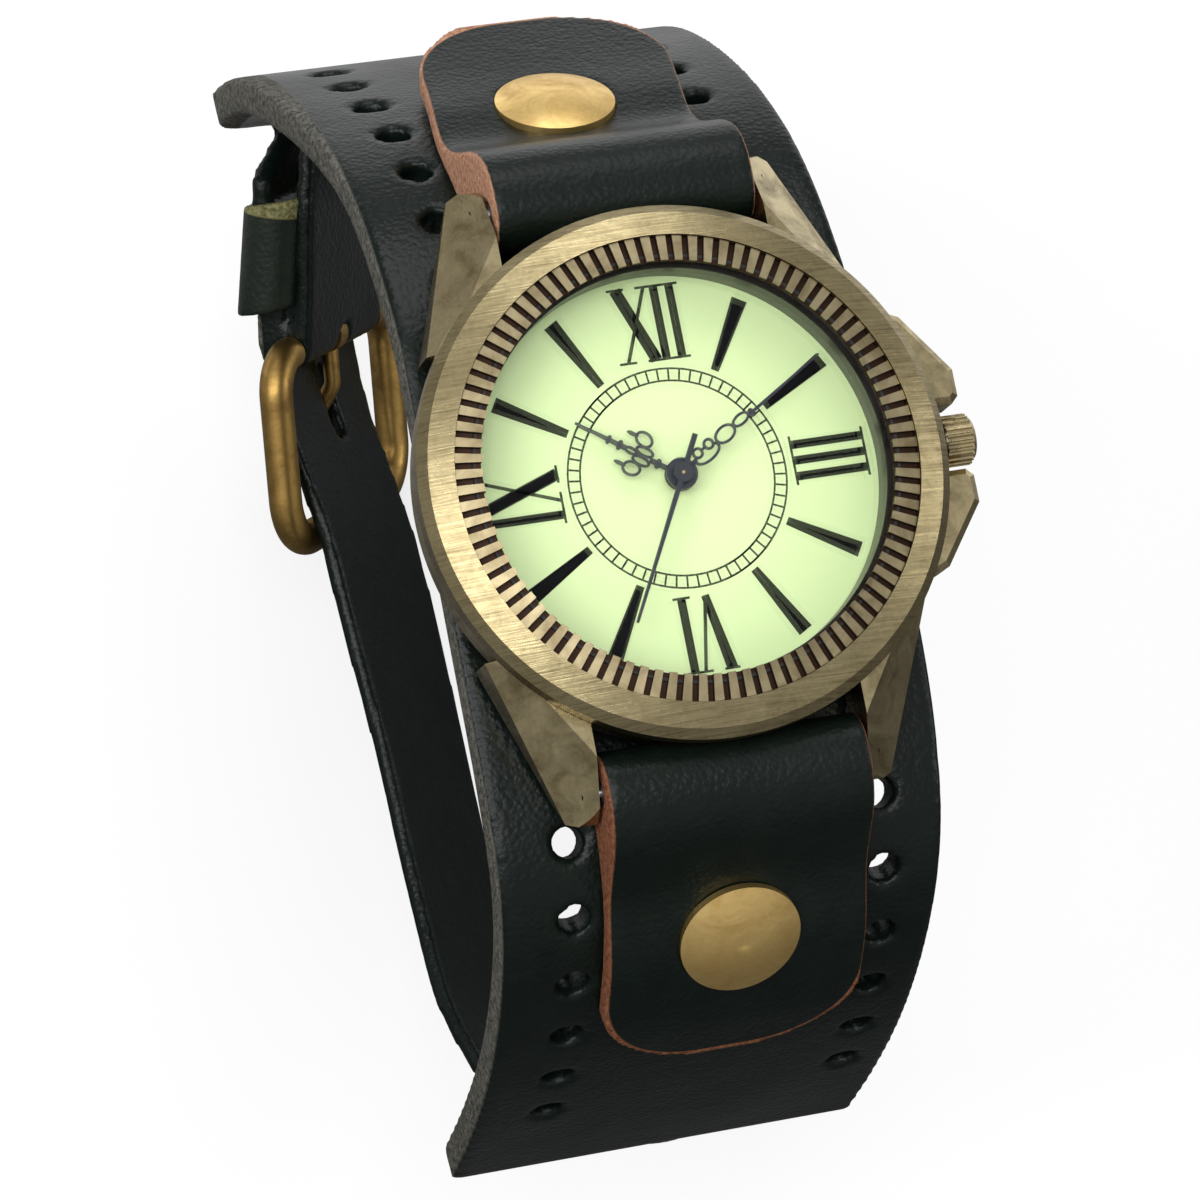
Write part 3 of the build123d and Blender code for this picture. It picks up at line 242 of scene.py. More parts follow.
def noise(tree, vector, scale, detail=3.0, roughness=0.5, distortion=0.0):
    """A noise texture's value at a scale per metre."""
    node = tree.nodes.new("ShaderNodeTexNoise")
    node.inputs["Scale"].default_value = scale
    node.inputs["Detail"].default_value = detail
    node.inputs["Roughness"].default_value = roughness
    node.inputs["Distortion"].default_value = distortion
    tree.links.new(vector, node.inputs["Vector"])
    return node.outputs[0]


# %% [markdown]
# ### Leather grain
#
# Smooth cowhide shows fine pebbles about half a millimetre across, and here and there a soft
# crease. Voronoi cells give the pebbles, warped noise gives the creases, and slow noise makes some
# places duller than others.

# %% Leather grain
grain, start, end = effect(
    "leather_grain",
    [("Vector", "NodeSocketVector", None), ("Pebbles per metre", "NodeSocketFloat", 2300.0)],
    [("Height", "NodeSocketFloat"), ("Dullness", "NodeSocketFloat"), ("Tone", "NodeSocketFloat")],
)
cells = grain.nodes.new("ShaderNodeTexVoronoi")
cells.feature = "SMOOTH_F1"
cells.inputs["Smoothness"].default_value = 0.6
grain.links.new(start.outputs["Vector"], cells.inputs["Vector"])
grain.links.new(start.outputs["Pebbles per metre"], cells.inputs["Scale"])
pores = noise(grain, start.outputs["Vector"], scale=5200.0, detail=2.0)
waves = noise(grain, start.outputs["Vector"], scale=200.0, detail=4.0, roughness=0.55, distortion=1.5)
pebble_share = -0.7
pore_share = 0.35
wave_share = 0.8
height = maths(grain, "MULTIPLY_ADD", cells.outputs["Distance"], pebble_share, 0.5)
height = maths(grain, "MULTIPLY_ADD", pores, pore_share, height)
height = maths(grain, "MULTIPLY_ADD", waves, wave_share, height)
grain.links.new(height, end.inputs["Height"])
slow = noise(grain, start.outputs["Vector"], scale=60.0)
grain.links.new(ranged(grain, slow, 0.35, 0.65), end.inputs["Dullness"])
grain.links.new(ranged(grain, waves, 0.3, 0.7), end.inputs["Tone"])

# %% [markdown]
# ### Brushed metal and patina
#
# The bezel is rubbed in one slanting direction before it is aged, so its scratches are noise
# stretched far along one line. Patina is brown in blotches of several sizes, which is plain noise.

# %% Brushed metal
brushed, start, end = effect(
    "brushed_lines",
    [("Vector", "NodeSocketVector", None)],
    [("Lines", "NodeSocketFloat"), ("Streaks", "NodeSocketFloat")],
)
brush_turn = math.radians(52)
brush_scales = Vector((240, 9000, 500))
for label, scale, detail in (("Lines", 1.0, 4.0), ("Streaks", 0.3, 3.0)):
    stretch = brushed.nodes.new("ShaderNodeMapping")
    stretch.vector_type = "POINT"
    stretch.inputs["Rotation"].default_value = (0, 0, brush_turn)
    stretch.inputs["Scale"].default_value = brush_scales * scale
    brushed.links.new(start.outputs["Vector"], stretch.inputs["Vector"])
    brushed.links.new(noise(brushed, stretch.outputs[0], 1.0, detail, 0.6), end.inputs[label])

# %% Patina
patina, start, end = effect(
    "patina",
    [("Vector", "NodeSocketVector", None)],
    [("Blotches", "NodeSocketFloat"), ("Specks", "NodeSocketFloat")],
)
blotches = noise(patina, start.outputs["Vector"], scale=330.0, detail=6.0, roughness=0.65, distortion=0.6)
patina.links.new(ranged(patina, blotches, 0.38, 0.66), end.inputs["Blotches"])
specks = noise(patina, start.outputs["Vector"], scale=2600.0, roughness=0.6)
patina.links.new(ranged(patina, specks, 0.45, 0.75), end.inputs["Specks"])

# %% [markdown]
# ### Distance from a rounded outline
#
# The cut edge of a tab shows raw leather. To find it in the shader, the group measures how far a
# point is inside a rounded rectangle: nought on the outline and growing inwards.

# %% Outline
outline, start, end = effect(
    "inside_outline",
    [
        ("Across", "NodeSocketFloat", 0.0),
        ("Along", "NodeSocketFloat", 0.0),
        ("Half width", "NodeSocketFloat", 0.01),
        ("Corner", "NodeSocketFloat", 0.008),
    ],
    [("Inside", "NodeSocketFloat")],
)
across = maths(outline, "ABSOLUTE", start.outputs["Across"])
core = maths(outline, "SUBTRACT", start.outputs["Half width"], start.outputs["Corner"])
side = maths(outline, "MAXIMUM", maths(outline, "SUBTRACT", across, core), 0.0)
tip = maths(outline, "MAXIMUM", maths(outline, "ADD", start.outputs["Along"], start.outputs["Corner"]), 0.0)
reach = maths(
    outline,
    "SQRT",
    maths(outline, "ADD", maths(outline, "POWER", side, 2.0), maths(outline, "POWER", tip, 2.0)),
)
outline.links.new(maths(outline, "SUBTRACT", start.outputs["Corner"], reach), end.inputs["Inside"])

# %% [markdown]
# ## Metal finishes
#
# The case, bezel and buckle are brass that was darkened and then rubbed bright again where a cloth
# reaches. One helper mixes a rubbed and a dark tone, and roughens what is dark. Only the bezel is
# scratched by a brush, and the other metals are mottled.

# %% Aged metal


def mixed(tree, factor, first, second):
    """Mix two colours by a factor socket; a colour is four numbers or a socket."""
    node = tree.nodes.new("ShaderNodeMix")
    node.data_type = "RGBA"
    tree.links.new(factor, node.inputs["Factor"])
    for socket, colour in (("A", first), ("B", second)):
        target = [item for item in node.inputs if item.name == socket and item.type == "RGBA"][0]
        if isinstance(colour, tuple):
            target.default_value = colour
        else:
            tree.links.new(colour, target)
    return [item for item in node.outputs if item.type == "RGBA"][0]


def placed(tree, effect_tree, **values):
    """Put an effect group in a material and set its values."""
    node = tree.nodes.new("ShaderNodeGroup")
    node.node_tree = effect_tree
    for label, value in values.items():
        node.inputs[label.replace("_", " ")].default_value = value
    return node


def bumped(shader, tree, height, distance, strength):
    """Bump a shader's normal by a height, which is worth a distance in metres."""
    node = tree.nodes.new("ShaderNodeBump")
    node.inputs["Distance"].default_value = distance
    node.inputs["Strength"].default_value = strength
    tree.links.new(height, node.inputs["Height"])
    tree.links.new(node.outputs[0], shader.inputs["Normal"])


def aged_metal(name, rubbed, dark, smooth, dull, lines=0.0, blotch=0.5, streaked=0.25):
    """Metal with a rubbed and a dark tone; lines is the strength of its scratches, or nought."""
    material = bpy.data.materials.new(name)
    nodes, links, shader = nodes_of(material)
    tree = material.node_tree
    place = nodes.new("ShaderNodeTexCoord").outputs["Object"]
    spots = placed(tree, patina)
    links.new(place, spots.inputs["Vector"])
    factor = maths(tree, "MULTIPLY", spots.outputs["Blotches"], blotch)
    speck_share = 0.18
    factor = maths(tree, "MULTIPLY_ADD", spots.outputs["Specks"], speck_share, factor)
    if lines:
        scratches = placed(tree, brushed)
        links.new(place, scratches.inputs["Vector"])
        streak = ranged(tree, scratches.outputs["Streaks"], low=0.35, high=0.7)
        factor = maths(tree, "MULTIPLY_ADD", streak, streaked, factor)
        line = ranged(tree, scratches.outputs["Lines"], low=0.35, high=0.65)
        line_share = 0.42
        factor = maths(tree, "MULTIPLY_ADD", line, line_share, factor)
        bumped(shader, tree, scratches.outputs["Lines"], distance=0.02 * MM, strength=lines)
    else:
        bumped(shader, tree, spots.outputs["Specks"], distance=0.01 * MM, strength=0.3)
    factor = maths(tree, "MINIMUM", factor, 1.0)
    links.new(mixed(tree, factor, rubbed, dark), shader.inputs["Base Color"])
    links.new(ranged(tree, factor, 0.0, 1.0, smooth, dull), shader.inputs["Roughness"])
    shader.inputs["Metallic"].default_value = 1.0
    return material


case_metal = aged_metal(
    "case_aged_bronze",
    rubbed=(0.60, 0.50, 0.29, 1),
    dark=(0.20, 0.155, 0.08, 1),
    smooth=0.2,
    dull=0.32,
    blotch=0.9,
)
bezel_metal = aged_metal(
    "bezel_brushed_bronze",
    rubbed=(0.47, 0.39, 0.215, 1),
    dark=(0.11, 0.085, 0.04, 1),
    smooth=0.24,
    dull=0.38,
    lines=0.7,
    blotch=0.25,
    streaked=0.15,
)
rivet_metal = aged_metal(
    "rivet_aged_brass",
    rubbed=(0.95, 0.68, 0.27, 1),
    dark=(0.60, 0.39, 0.13, 1),
    smooth=0.34,
    dull=0.5,
    blotch=0.8,
)
buckle_metal = aged_metal(
    "buckle_old_gold",
    rubbed=(0.52, 0.33, 0.10, 1),
    dark=(0.17, 0.095, 0.03, 1),
    smooth=0.36,
    dull=0.52,
    blotch=0.7,
)
steel_metal = aged_metal(
    "plain_steel",
    rubbed=(0.62, 0.62, 0.64, 1),
    dark=(0.5, 0.5, 0.52, 1),
    smooth=0.25,
    dull=0.35,
)
train_metal = aged_metal(
    "movement_brass",
    rubbed=(0.78, 0.62, 0.34, 1),
    dark=(0.62, 0.47, 0.24, 1),
    smooth=0.22,
    dull=0.35,
    blotch=0.4,
)

# %% [markdown]
# ### Fluted ring
#
# The ring's flutes are rubbed bright on top, and their grooves are painted dark brown as shade. The
# ring's top slopes down as it goes outwards, and a point lies in a groove when it is under that sloping
# face.

# %% Fluted ring's finish


def from_axis(tree, place):
    """A point's distance from the dial's axis, and its height."""
    level = tree.nodes.new("ShaderNodeVectorMath")
    level.operation = "MULTIPLY"
    level.inputs[1].default_value = (1, 1, 0)
    tree.links.new(place, level.inputs[0])
    distance = tree.nodes.new("ShaderNodeVectorMath")
    distance.operation = "LENGTH"
    tree.links.new(level.outputs[0], distance.inputs[0])
    split = tree.nodes.new("ShaderNodeSeparateXYZ")
    tree.links.new(place, split.inputs[0])
    return distance.outputs["Value"], split.outputs[2]


flute_metal = bpy.data.materials.new("flute_brass")
nodes, links, shader = nodes_of(flute_metal)
tree = flute_metal.node_tree
place = nodes.new("ShaderNodeTexCoord").outputs["Object"]
radius, height = from_axis(tree, place)
ring_slope = 0.18
ring_inside = 15.45 * MM
ring_rise = 4.1 * MM
at_axis = dial_height + ring_rise + ring_slope * ring_inside
face = maths(tree, "MULTIPLY_ADD", radius, -ring_slope, at_axis)
depth = maths(tree, "SUBTRACT", face, height)
spots = placed(tree, patina)
links.new(place, spots.inputs["Vector"])
depth = maths(tree, "MULTIPLY_ADD", spots.outputs["Specks"], 0.12 * MM, depth)
# The deeper a point lies in a groove, the darker it is painted: painted shade in the flutes' recesses.
groove_shade_mask = ranged(tree, depth, low=0.08 * MM, high=0.32 * MM, smooth=True)
rubbed = mixed(tree, spots.outputs["Blotches"], (0.40, 0.335, 0.20, 1), (0.21, 0.165, 0.09, 1))
# The grooves' dark brown is painted shade.
links.new(mixed(tree, groove_shade_mask, rubbed, (0.06, 0.035, 0.025, 1)), shader.inputs["Base Color"])
links.new(ranged(tree, groove_shade_mask, 0.0, 1.0, out_low=0.4, out_high=0.65), shader.inputs["Roughness"])
shader.inputs["Metallic"].default_value = 1.0

# %% [markdown]
# ### Paint, rubber, plastic and glass
#
# The small parts need little: an even colour, a roughness and some fine noise, so that nothing is
# flawless. The dial's colour darkens towards its rim as painted shade from the rings, and the crystal
# is clear.

# %% Plain finishes


def plain(name, colour, roughness, grain_size=900.0, change=0.12, metallic=0.0):
    """An even finish with faint noise in its colour and roughness."""
    material = bpy.data.materials.new(name)
    nodes, links, shader = nodes_of(material)
    tree = material.node_tree
    place = nodes.new("ShaderNodeTexCoord").outputs["Object"]
    spread = noise(tree, place, grain_size, detail=4.0, roughness=0.6)
    darker = tuple(value * (1 - change) for value in colour[:3]) + (1,)
    links.new(mixed(tree, spread, colour, darker), shader.inputs["Base Color"])
    links.new(ranged(tree, spread, 0.3, 0.7, roughness * 0.9, roughness * 1.1), shader.inputs["Roughness"])
    shader.inputs["Metallic"].default_value = metallic
    return material


ink = plain("black_ink", (0.003, 0.003, 0.004, 1), 0.7)
ink.node_tree.nodes["Principled BSDF"].inputs["Specular IOR Level"].default_value = 0.08
hand_paint = plain("blue_black_hands", (0.028, 0.033, 0.042, 1), 0.32)
dark_ring = plain("dark_inner_ring", (0.018, 0.014, 0.012, 1), 0.3)
seal_rubber = plain("seal_rubber", (0.02, 0.02, 0.02, 1), 0.6)
ring_plastic = plain("pale_plastic", (0.72, 0.72, 0.69, 1), 0.45)
wheel_plastic = plain("white_wheel_plastic", (0.82, 0.81, 0.77, 1), 0.4)
board_resin = plain("green_board", (0.03, 0.20, 0.09, 1), 0.35)
coil_copper = plain("coil_copper", (0.60, 0.25, 0.12, 1), 0.3, grain_size=9000.0, change=0.5, metallic=1.0)

# %% Dial paint
dial_paint = bpy.data.materials.new("dial_paint")
nodes, links, shader = nodes_of(dial_paint)
tree = dial_paint.node_tree
place = nodes.new("ShaderNodeTexCoord").outputs["Object"]
radius, height = from_axis(tree, place)
# Towards the rim the colour darkens to (0.66, 0.84, 0.42): painted shade from the rings over the dial's
# edge.
rim_shade = ranged(tree, radius, low=4 * MM, high=15.5 * MM, smooth=True)
mottle = noise(tree, place, scale=1400.0, detail=4.0, roughness=0.6)
cream = mixed(tree, mottle, (0.78, 0.95, 0.49, 1), (0.75, 0.92, 0.47, 1))
links.new(mixed(tree, rim_shade, cream, (0.66, 0.84, 0.42, 1)), shader.inputs["Base Color"])
shader.inputs["Roughness"].default_value = 0.32

# %% Crystal
crystal_glass = bpy.data.materials.new("crystal_glass")
nodes, links, shader = nodes_of(crystal_glass)
shader.inputs["Base Color"].default_value = (1, 1, 1, 1)
shader.inputs["Roughness"].default_value = 0.02
shader.inputs["IOR"].default_value = 1.45
shader.inputs["Alpha"].default_value = 0.06
shader.inputs["Transmission Weight"].default_value = 1.0
shader.inputs["Specular IOR Level"].default_value = 0.3

# %% [markdown]
# ## Leather finishes
#
# The hide is dyed a green so dark that it looks black until light grazes it. The grain bumps it,
# and a thin coat gives the polish. Where a knife has cut the hide, the dye ends and pale fibres
# show: ginger on the tabs, grey on the cuff's long sides and olive on the keeper's rims. The
# material finds a cut by how deep a point lies inside the piece's outline.

# %% How deep a point lies inside a piece
lean_starts = -18 * MM
lean_full = -6 * MM


def run_from(tree, place, origin, along):
    """A point's offset from an origin, and how far that reaches along a direction."""
    shift = tree.nodes.new("ShaderNodeVectorMath")
    shift.operation = "SUBTRACT"
    shift.inputs[1].default_value = origin
    tree.links.new(place, shift.inputs[0])
    run = tree.nodes.new("ShaderNodeVectorMath")
    run.operation = "DOT_PRODUCT"
    run.inputs[1].default_value = along
    tree.links.new(shift.outputs[0], run.inputs[0])
    return shift.outputs[0], run.outputs["Value"]


def depth_in_tab(tree, place, origin, along, half_width, corner, lean):
    """Depth inside a tab's rounded end, whose tip is at the origin, and which leans aside."""
    shift, run = run_from(tree, place, origin, along)
    split = tree.nodes.new("ShaderNodeSeparateXYZ")
    tree.links.new(shift, split.inputs[0])
    shape = placed(tree, outline, Half_width=half_width, Corner=corner)
    aside = ranged(tree, run, lean_starts, lean_full, out_high=lean, smooth=True)
    tree.links.new(maths(tree, "SUBTRACT", split.outputs[0], aside), shape.inputs["Across"])
    tree.links.new(run, shape.inputs["Along"])
    return shape.outputs["Inside"]


def depth_in_slab(tree, place, middle, direction, half_length):
    """Depth inside two parallel cuts, half a length to each side of the middle."""
    run = run_from(tree, place, middle, direction)[1]
    return maths(tree, "SUBTRACT", half_length, maths(tree, "ABSOLUTE", run))


# %% Leather


def leather(name, dye, bloom, dull, gloss, cut):
    """Dyed hide; a cut is a depth helper, its values, and a dark and a pale fibre colour."""
    material = bpy.data.materials.new(name)
    nodes, links, shader = nodes_of(material)
    tree = material.node_tree
    place = nodes.new("ShaderNodeTexCoord").outputs["Object"]
    hide = placed(tree, grain)
    links.new(place, hide.inputs["Vector"])
    colour = mixed(tree, hide.outputs["Tone"], dye, bloom)
    roughness = ranged(tree, hide.outputs["Dullness"], 0.0, 1.0, gloss, dull)
    depth_helper, values, dark_fibre, pale_fibre = cut
    fibres = noise(tree, place, scale=2400.0, detail=5.0, roughness=0.75)
    fray = 0.3 * MM
    inside = maths(tree, "MULTIPLY_ADD", fibres, fray, depth_helper(tree, place, *values))
    edge = ranged(tree, inside, low=0.2 * MM, high=0.35 * MM, out_low=1.0, out_high=0.0)
    raw = mixed(tree, ranged(tree, fibres, low=0.38, high=0.62), dark_fibre, pale_fibre)
    colour = mixed(tree, edge, colour, raw)
    raw_roughness = 0.9
    roughness = maths(tree, "MAXIMUM", roughness, maths(tree, "MULTIPLY", edge, raw_roughness))
    fibre_height = 2.5
    rough_height = maths(tree, "MULTIPLY", maths(tree, "MULTIPLY", fibres, edge), fibre_height)
    height = maths(tree, "ADD", hide.outputs["Height"], rough_height)
    links.new(colour, shader.inputs["Base Color"])
    links.new(roughness, shader.inputs["Roughness"])
    bumped(shader, tree, height, distance=0.12 * MM, strength=0.55)
    shader.inputs["Specular IOR Level"].default_value = 0.2
    shader.inputs["Coat Weight"].default_value = 0.03
    shader.inputs["Coat Roughness"].default_value = 0.3
    return material


dye = (0.002, 0.0048, 0.0034, 1)
bloom = (0.004, 0.0085, 0.0062, 1)
cuff_half_width = 17.65 * MM
cuff_cut = (
    depth_in_slab,
    ((0, 0, 0), (1, 0, 0), cuff_half_width),
    (0.022, 0.027, 0.023, 1),
    (0.17, 0.16, 0.135, 1),
)
keeper_middle = (-0.00969, 0.03439, -0.04889)
keeper_way = (0.13705, 0.85615, 0.49821)
keeper_half_width = 4.7 * MM
keeper_cut = (
    depth_in_slab,
    (keeper_middle, keeper_way, keeper_half_width),
    (0.09, 0.085, 0.03, 1),
    (0.30, 0.29, 0.13, 1),
)
cuff_leather = leather("cuff_leather", dye, bloom, dull=0.4, gloss=0.28, cut=cuff_cut)
keeper_dye = (0.007, 0.011, 0.008, 1)
keeper_bloom = (0.014, 0.019, 0.013, 1)
keeper_leather = leather("keeper_leather", keeper_dye, keeper_bloom, dull=0.5, gloss=0.36, cut=keeper_cut)

# %% [markdown]
# ## Give every solid its finish
#
# Each rigid solid of the frame keeps its shape and gets the finish of the real piece, by the list
# of names below. The leather solids are left for the next section.

# %% Finishes of the frame's nodes


def coated(piece, material):
    """Give a piece one material."""
    piece.data.materials.clear()
    piece.data.materials.append(material)


finishes = {
    case_metal: ["case_body", "crown"],
    bezel_metal: ["bezel"],
    flute_metal: ["fluted_ring"],
    crystal_glass: ["crystal"],
    seal_rubber: ["crystal_gasket", "case_back_seal", "crown_seal"],
    dark_ring: ["inner_ring"],
    dial_paint: ["dial"],
    ring_plastic: ["movement_ring"],
    wheel_plastic: ["intermediate_wheel"],
    board_resin: ["circuit_board"],
    coil_copper: ["coil"],
    hand_paint: ["hour_hand", "minute_hand", "second_hand"],
    rivet_metal: ["upper_rivet_cap", "lower_rivet_cap", "upper_rivet_base", "lower_rivet_base"],
    buckle_metal: ["buckle_frame", "buckle_prong"],
    train_metal: ["main_plate", "train_bridge", "fourth_wheel", "third_wheel", "centre_wheel"]
    + ["minute_wheel", "hour_wheel"],
    steel_metal: ["case_back", "crown_tube", "stem", "sliding_pinion", "spring_bar_upper"]
    + ["spring_bar_lower", "upper_left_tip", "upper_right_tip", "lower_left_tip", "lower_right_tip"]
    + ["stator", "battery", "battery_clamp", "rotor", "cannon_pinion"],
}
finished = set()
for material, names in finishes.items():
    for name in names:
        coated(frame["nodes"][name], material)
        finished.add(name)
print("left for leather:", sorted(set(frame["nodes"]) - finished))

# %% [markdown]
# ## Leather pieces
#
# A leather solid from CAD has knife-sharp edges and long flat triangles. Here its copy is merged
# and given an even skin of small faces with a voxel remesh, and a smoothing modifier rounds the
# cut edges as a maker's burnisher would. The new piece takes the solid's place in the picture.

# %% A skin for a leather solid


def leather_skin(node_name, piece_name, material, voxel, shaped):
    """A copy of a leather solid with an even skin and rounded edges, in place of the solid."""
    bpy.ops.object.select_all(action="DESELECT")
    source = frame["nodes"][node_name]
    source.select_set(True)
    bpy.context.view_layer.objects.active = source
    bpy.ops.object.duplicate()
    piece = bpy.context.object
    bpy.ops.object.parent_clear(type="CLEAR_KEEP_TRANSFORM")
    piece.name = piece_name
    piece.data.name = piece_name
    bpy.ops.object.mode_set(mode="EDIT")
    bpy.ops.mesh.select_all(action="SELECT")
    bpy.ops.mesh.remove_doubles(threshold=0.001 * MM)
    bpy.ops.object.mode_set(mode="OBJECT")
    skin = piece.modifiers.new("skin", "REMESH")
    skin.mode = "VOXEL"
    skin.voxel_size = voxel
    bpy.ops.object.modifier_apply(modifier=skin.name)
    ease = piece.modifiers.new("ease", "SMOOTH")
    ease.factor = 0.5
    ease.iterations = 3
    bpy.ops.object.modifier_apply(modifier=ease.name)
    for vertex in piece.data.vertices:
        vertex.co = shaped(vertex.co)
    bpy.ops.object.shade_smooth()
    coated(piece, material)
    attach(piece, "watch")
    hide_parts(node_name)
    print(piece_name, "faces:", len(piece.data.polygons))
    return piece


# %% [markdown]
# ### Wear that pulls the leather
#
# Worn leather isn't as true as its pattern. The cuff's upper left corner is rounded and pulled
# outwards, its lower right edge has shrunk a little, and the keeper leans along the strap. The
# upper tab's end leans aside, and the lower tab's tip is drawn in. A pull on the cuff or on a tab
# fades to nothing along a smooth step, so the skin has no kink.

# %% Moves of the worn leather
corner_radius = 4 * MM
corner_middle_x = -13.65 * MM
corner_middle_z = -37.9 * MM
corner_from_y = 40 * MM


def eased(value, low, high):
    """A smooth step from nought at low to one at high."""
    share = min(max((value - low) / (high - low), 0.0), 1.0)
    return share * share * (3 - 2 * share)


def cuff_shape(point):
    """The cuff's rounded and pulled corner at the upper left, and its shrunk edge lower right."""
    out = Vector((corner_middle_x - point.x, 0, corner_middle_z - point.z))
    if point.y > corner_from_y and min(out.x, out.z) > 0 and out.length > corner_radius:
        out = out * (corner_radius / out.length)
        point = Vector((corner_middle_x - out.x, point.y, corner_middle_z - out.z))
    most_pull = 2.1 * MM
    most_shrink = 2.0 * MM
    pull = most_pull * eased(point.y, 26 * MM, 47 * MM) * eased(-point.x, 7 * MM, 17.6 * MM)
    shrink = most_shrink * eased(-point.y, 12 * MM, 44 * MM) * eased(point.x, 13.5 * MM, 17.6 * MM)
    on_cuff = eased(point.z, -53 * MM, -46 * MM)
    return Vector((point.x - (pull + shrink) * on_cuff, point.y, point.z))


keeper_out = Vector((-0.7911, 0.39729, -0.4651))
keeper_run = Vector(keeper_way)


def keeper_shape(point):
    """The keeper slid along the strap, its outer wall lower than its inner wall."""
    depth = (point - Vector(keeper_middle)).dot(keeper_out)
    slid = 0.9 * MM
    lean = 0.3
    inner_wall = 2.6 * MM
    return point + keeper_run * (slid - lean * (depth - inner_wall))


tab_half_width = 10 * MM
tab_corner = 8 * MM
tab_ends = {
    "upper": ((0, 0.04287, -0.01574), (0, 0.716, -0.698), 1.2 * MM, 0.0),
    "lower": ((0, -0.04025, -0.01035), (0, -0.47, -0.883), 0.0, 1.5 * MM),
}
tab_fibres = {
    "upper": ((0.30, 0.13, 0.07, 1), (0.60, 0.34, 0.22, 1)),
    "lower": ((0.12, 0.035, 0.015, 1), (0.34, 0.14, 0.07, 1)),
}


def tab_shape(point, origin, along, lean, shrink):
    """A tab's end leans aside past its rivet, or its tip is drawn in."""
    run = (point - Vector(origin)).dot(Vector(along))
    beside_rivet = eased(abs(point.x), 3.5 * MM, 8 * MM)
    aside = lean * eased(run, lean_starts, lean_full) * beside_rivet
    return point + Vector((aside, 0, 0)) - Vector(along) * shrink * eased(run, -7 * MM, 1 * MM)


cuff = leather_skin("cuff_band", "cuff_hide", cuff_leather, 0.45 * MM, cuff_shape)
for side, (origin, along, lean, shrink) in tab_ends.items():
    tab_cut = (depth_in_tab, (origin, along, tab_half_width, tab_corner, lean), *tab_fibres[side])
    hide = leather(side + "_tab_leather", dye, bloom, dull=0.4, gloss=0.28, cut=tab_cut)
    tab = leather_skin(
        side + "_tab",
        side + "_tab_hide",
        hide,
        0.3 * MM,
        lambda point: tab_shape(point, origin, along, lean, shrink),
    )
loop = leather_skin("keeper", "keeper_hide", keeper_leather, 0.3 * MM, keeper_shape)

# %% [markdown]
# ## Print on the dial
#
# The dial is printed in black: a railway track of minutes, tapered batons, and Roman numerals whose
# feet all point to the middle. Print is almost flat, so each stroke is a bar a few hundredths of a
# millimetre thick that sits on the dial's face. The strokes are placed along and across the ray
# of their hour, and joined into one piece at the end.

# %% Strokes
ink_height = 0.03
ink_sunk = 0.005


def stroke(start, end, start_width, end_width, hour):
    """A tapered bar in millimetres, from (across, out) to (across, out) on the ray of an hour."""
    run = Vector((end[0] - start[0], end[1] - start[1]))
    middle = ((start[0] + end[0]) / 2, (start[1] + end[1]) / 2)
    bpy.ops.mesh.primitive_cube_add(size=1)
    bar = bpy.context.object
    for vertex in bar.data.vertices:
        wide = end_width if vertex.co.y > 0 else start_width
        vertex.co = (vertex.co.x * wide, vertex.co.y * run.length, vertex.co.z * ink_height)
    lean = math.atan2(run.x, run.y)
    bar.rotation_euler = (0, 0, -lean)
    bar.location = (middle[0], middle[1], ink_height / 2 - ink_sunk)
    bpy.ops.object.transform_apply(location=True, rotation=True, scale=False)
    bar.rotation_euler = (0, 0, -math.radians(30 * hour))
    bar.scale = (MM, MM, MM)
    bar.location = (0, 0, dial_height)
    bpy.ops.object.transform_apply(location=True, rotation=True, scale=True)
    return bar


def joined(pieces, name, material, body):
    """Join pieces into one, finished and riding on a body."""
    bpy.ops.object.select_all(action="DESELECT")
    for piece in pieces:
        piece.select_set(True)
    bpy.context.view_layer.objects.active = pieces[0]
    bpy.ops.object.join()
    whole = bpy.context.object
    whole.name = name
    whole.data.name = name
    coated(whole, material)
    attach(whole, body)
    print(name, "faces:", len(whole.data.polygons))
    return whole


# %% Batons and numerals
bpy.ops.object.select_all(action="DESELECT")
baton_foot, baton_head = 8.75, 14.6
baton_narrow, baton_wide = 0.62, 1.2
print_bars = []
for hour in (1, 2, 4, 5, 7, 8, 10, 11):
    print_bars.append(stroke((0, baton_foot), (0, baton_head), baton_narrow, baton_wide, hour))
foot, head = 8.95, 14.55
thin = 0.26
serif_height = 0.18
serif_reach = 0.66


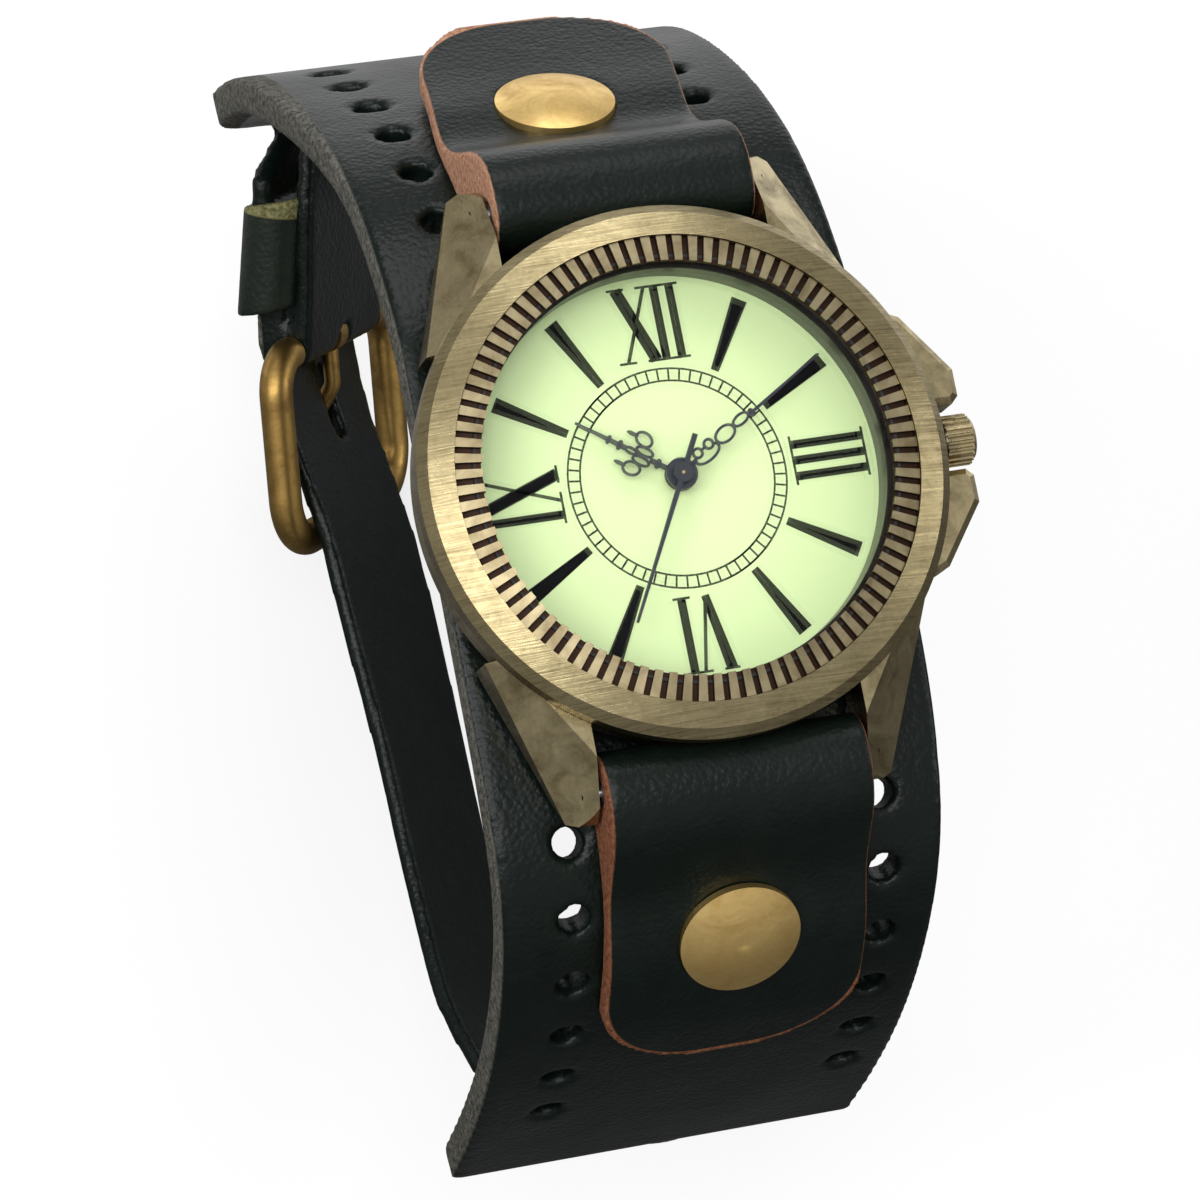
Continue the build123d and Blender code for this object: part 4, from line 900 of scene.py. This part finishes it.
def serif(x, out, reach, hour):
    """A thin bar across the end of a stroke."""
    return stroke((x - reach, out), (x + reach, out), serif_height, serif_height, hour)


def numeral_i(x, hour):
    """An upright stroke with thin serifs at both ends."""
    thick = 0.64
    bars = [stroke((x, foot), (x, head), thick, thick, hour)]
    for out in (foot, head):
        bars.append(serif(x, out, serif_reach, hour))
    return bars


def numeral_x(left, right, hour):
    """A thick stroke crossed by a thin one, with serifs at the four ends."""
    thick = 0.9
    bars = [stroke((left, head), (right, foot), thick, thick, hour)]
    bars.append(stroke((right, head), (left, foot), thin, thin, hour))
    for x in (left, right):
        for out in (foot, head):
            bars.append(serif(x, out, serif_reach, hour))
    return bars


def numeral_v(left, right, hour):
    """A thick and a thin stroke that meet at the foot, with serifs at the top."""
    foot_x = (left + right) / 2
    thick, thick_at_foot = 0.85, 0.6
    short_reach = 0.58
    bars = [stroke((left, head), (foot_x, foot), thick, thick_at_foot, hour)]
    bars.append(stroke((right, head), (foot_x, foot), thin, thin, hour))
    for x in (left, right):
        bars.append(serif(x, head, short_reach, hour))
    return bars


print_bars += numeral_x(-2.0, 0.2, 0) + numeral_i(0.95, 0) + numeral_i(2.15, 0)
print_bars += numeral_i(-1.2, 3) + numeral_i(0, 3) + numeral_i(1.2, 3)
print_bars += numeral_v(-1.3, 0.75, 6) + numeral_i(1.55, 6)
print_bars += numeral_i(-1.5, 9) + numeral_x(-0.45, 1.55, 9)

# %% Railway track
track_inside, track_outside = 7.35, 8.27
tick = 0.14
for major in (track_outside, track_inside):
    bpy.ops.mesh.primitive_torus_add(
        major_radius=major * MM,
        minor_radius=0.075 * MM,
        major_segments=144,
        minor_segments=6,
        location=(0, 0, dial_height),
    )
    ring = bpy.context.object
    for vertex in ring.data.vertices:
        vertex.co.z = vertex.co.z * 0.35 + 0.004 * MM
    print_bars.append(ring)
for minute in range(60):
    print_bars.append(stroke((0, track_inside), (0, track_outside), tick, tick, minute / 5))
dial_print = joined(print_bars, "dial_print", ink, "watch")
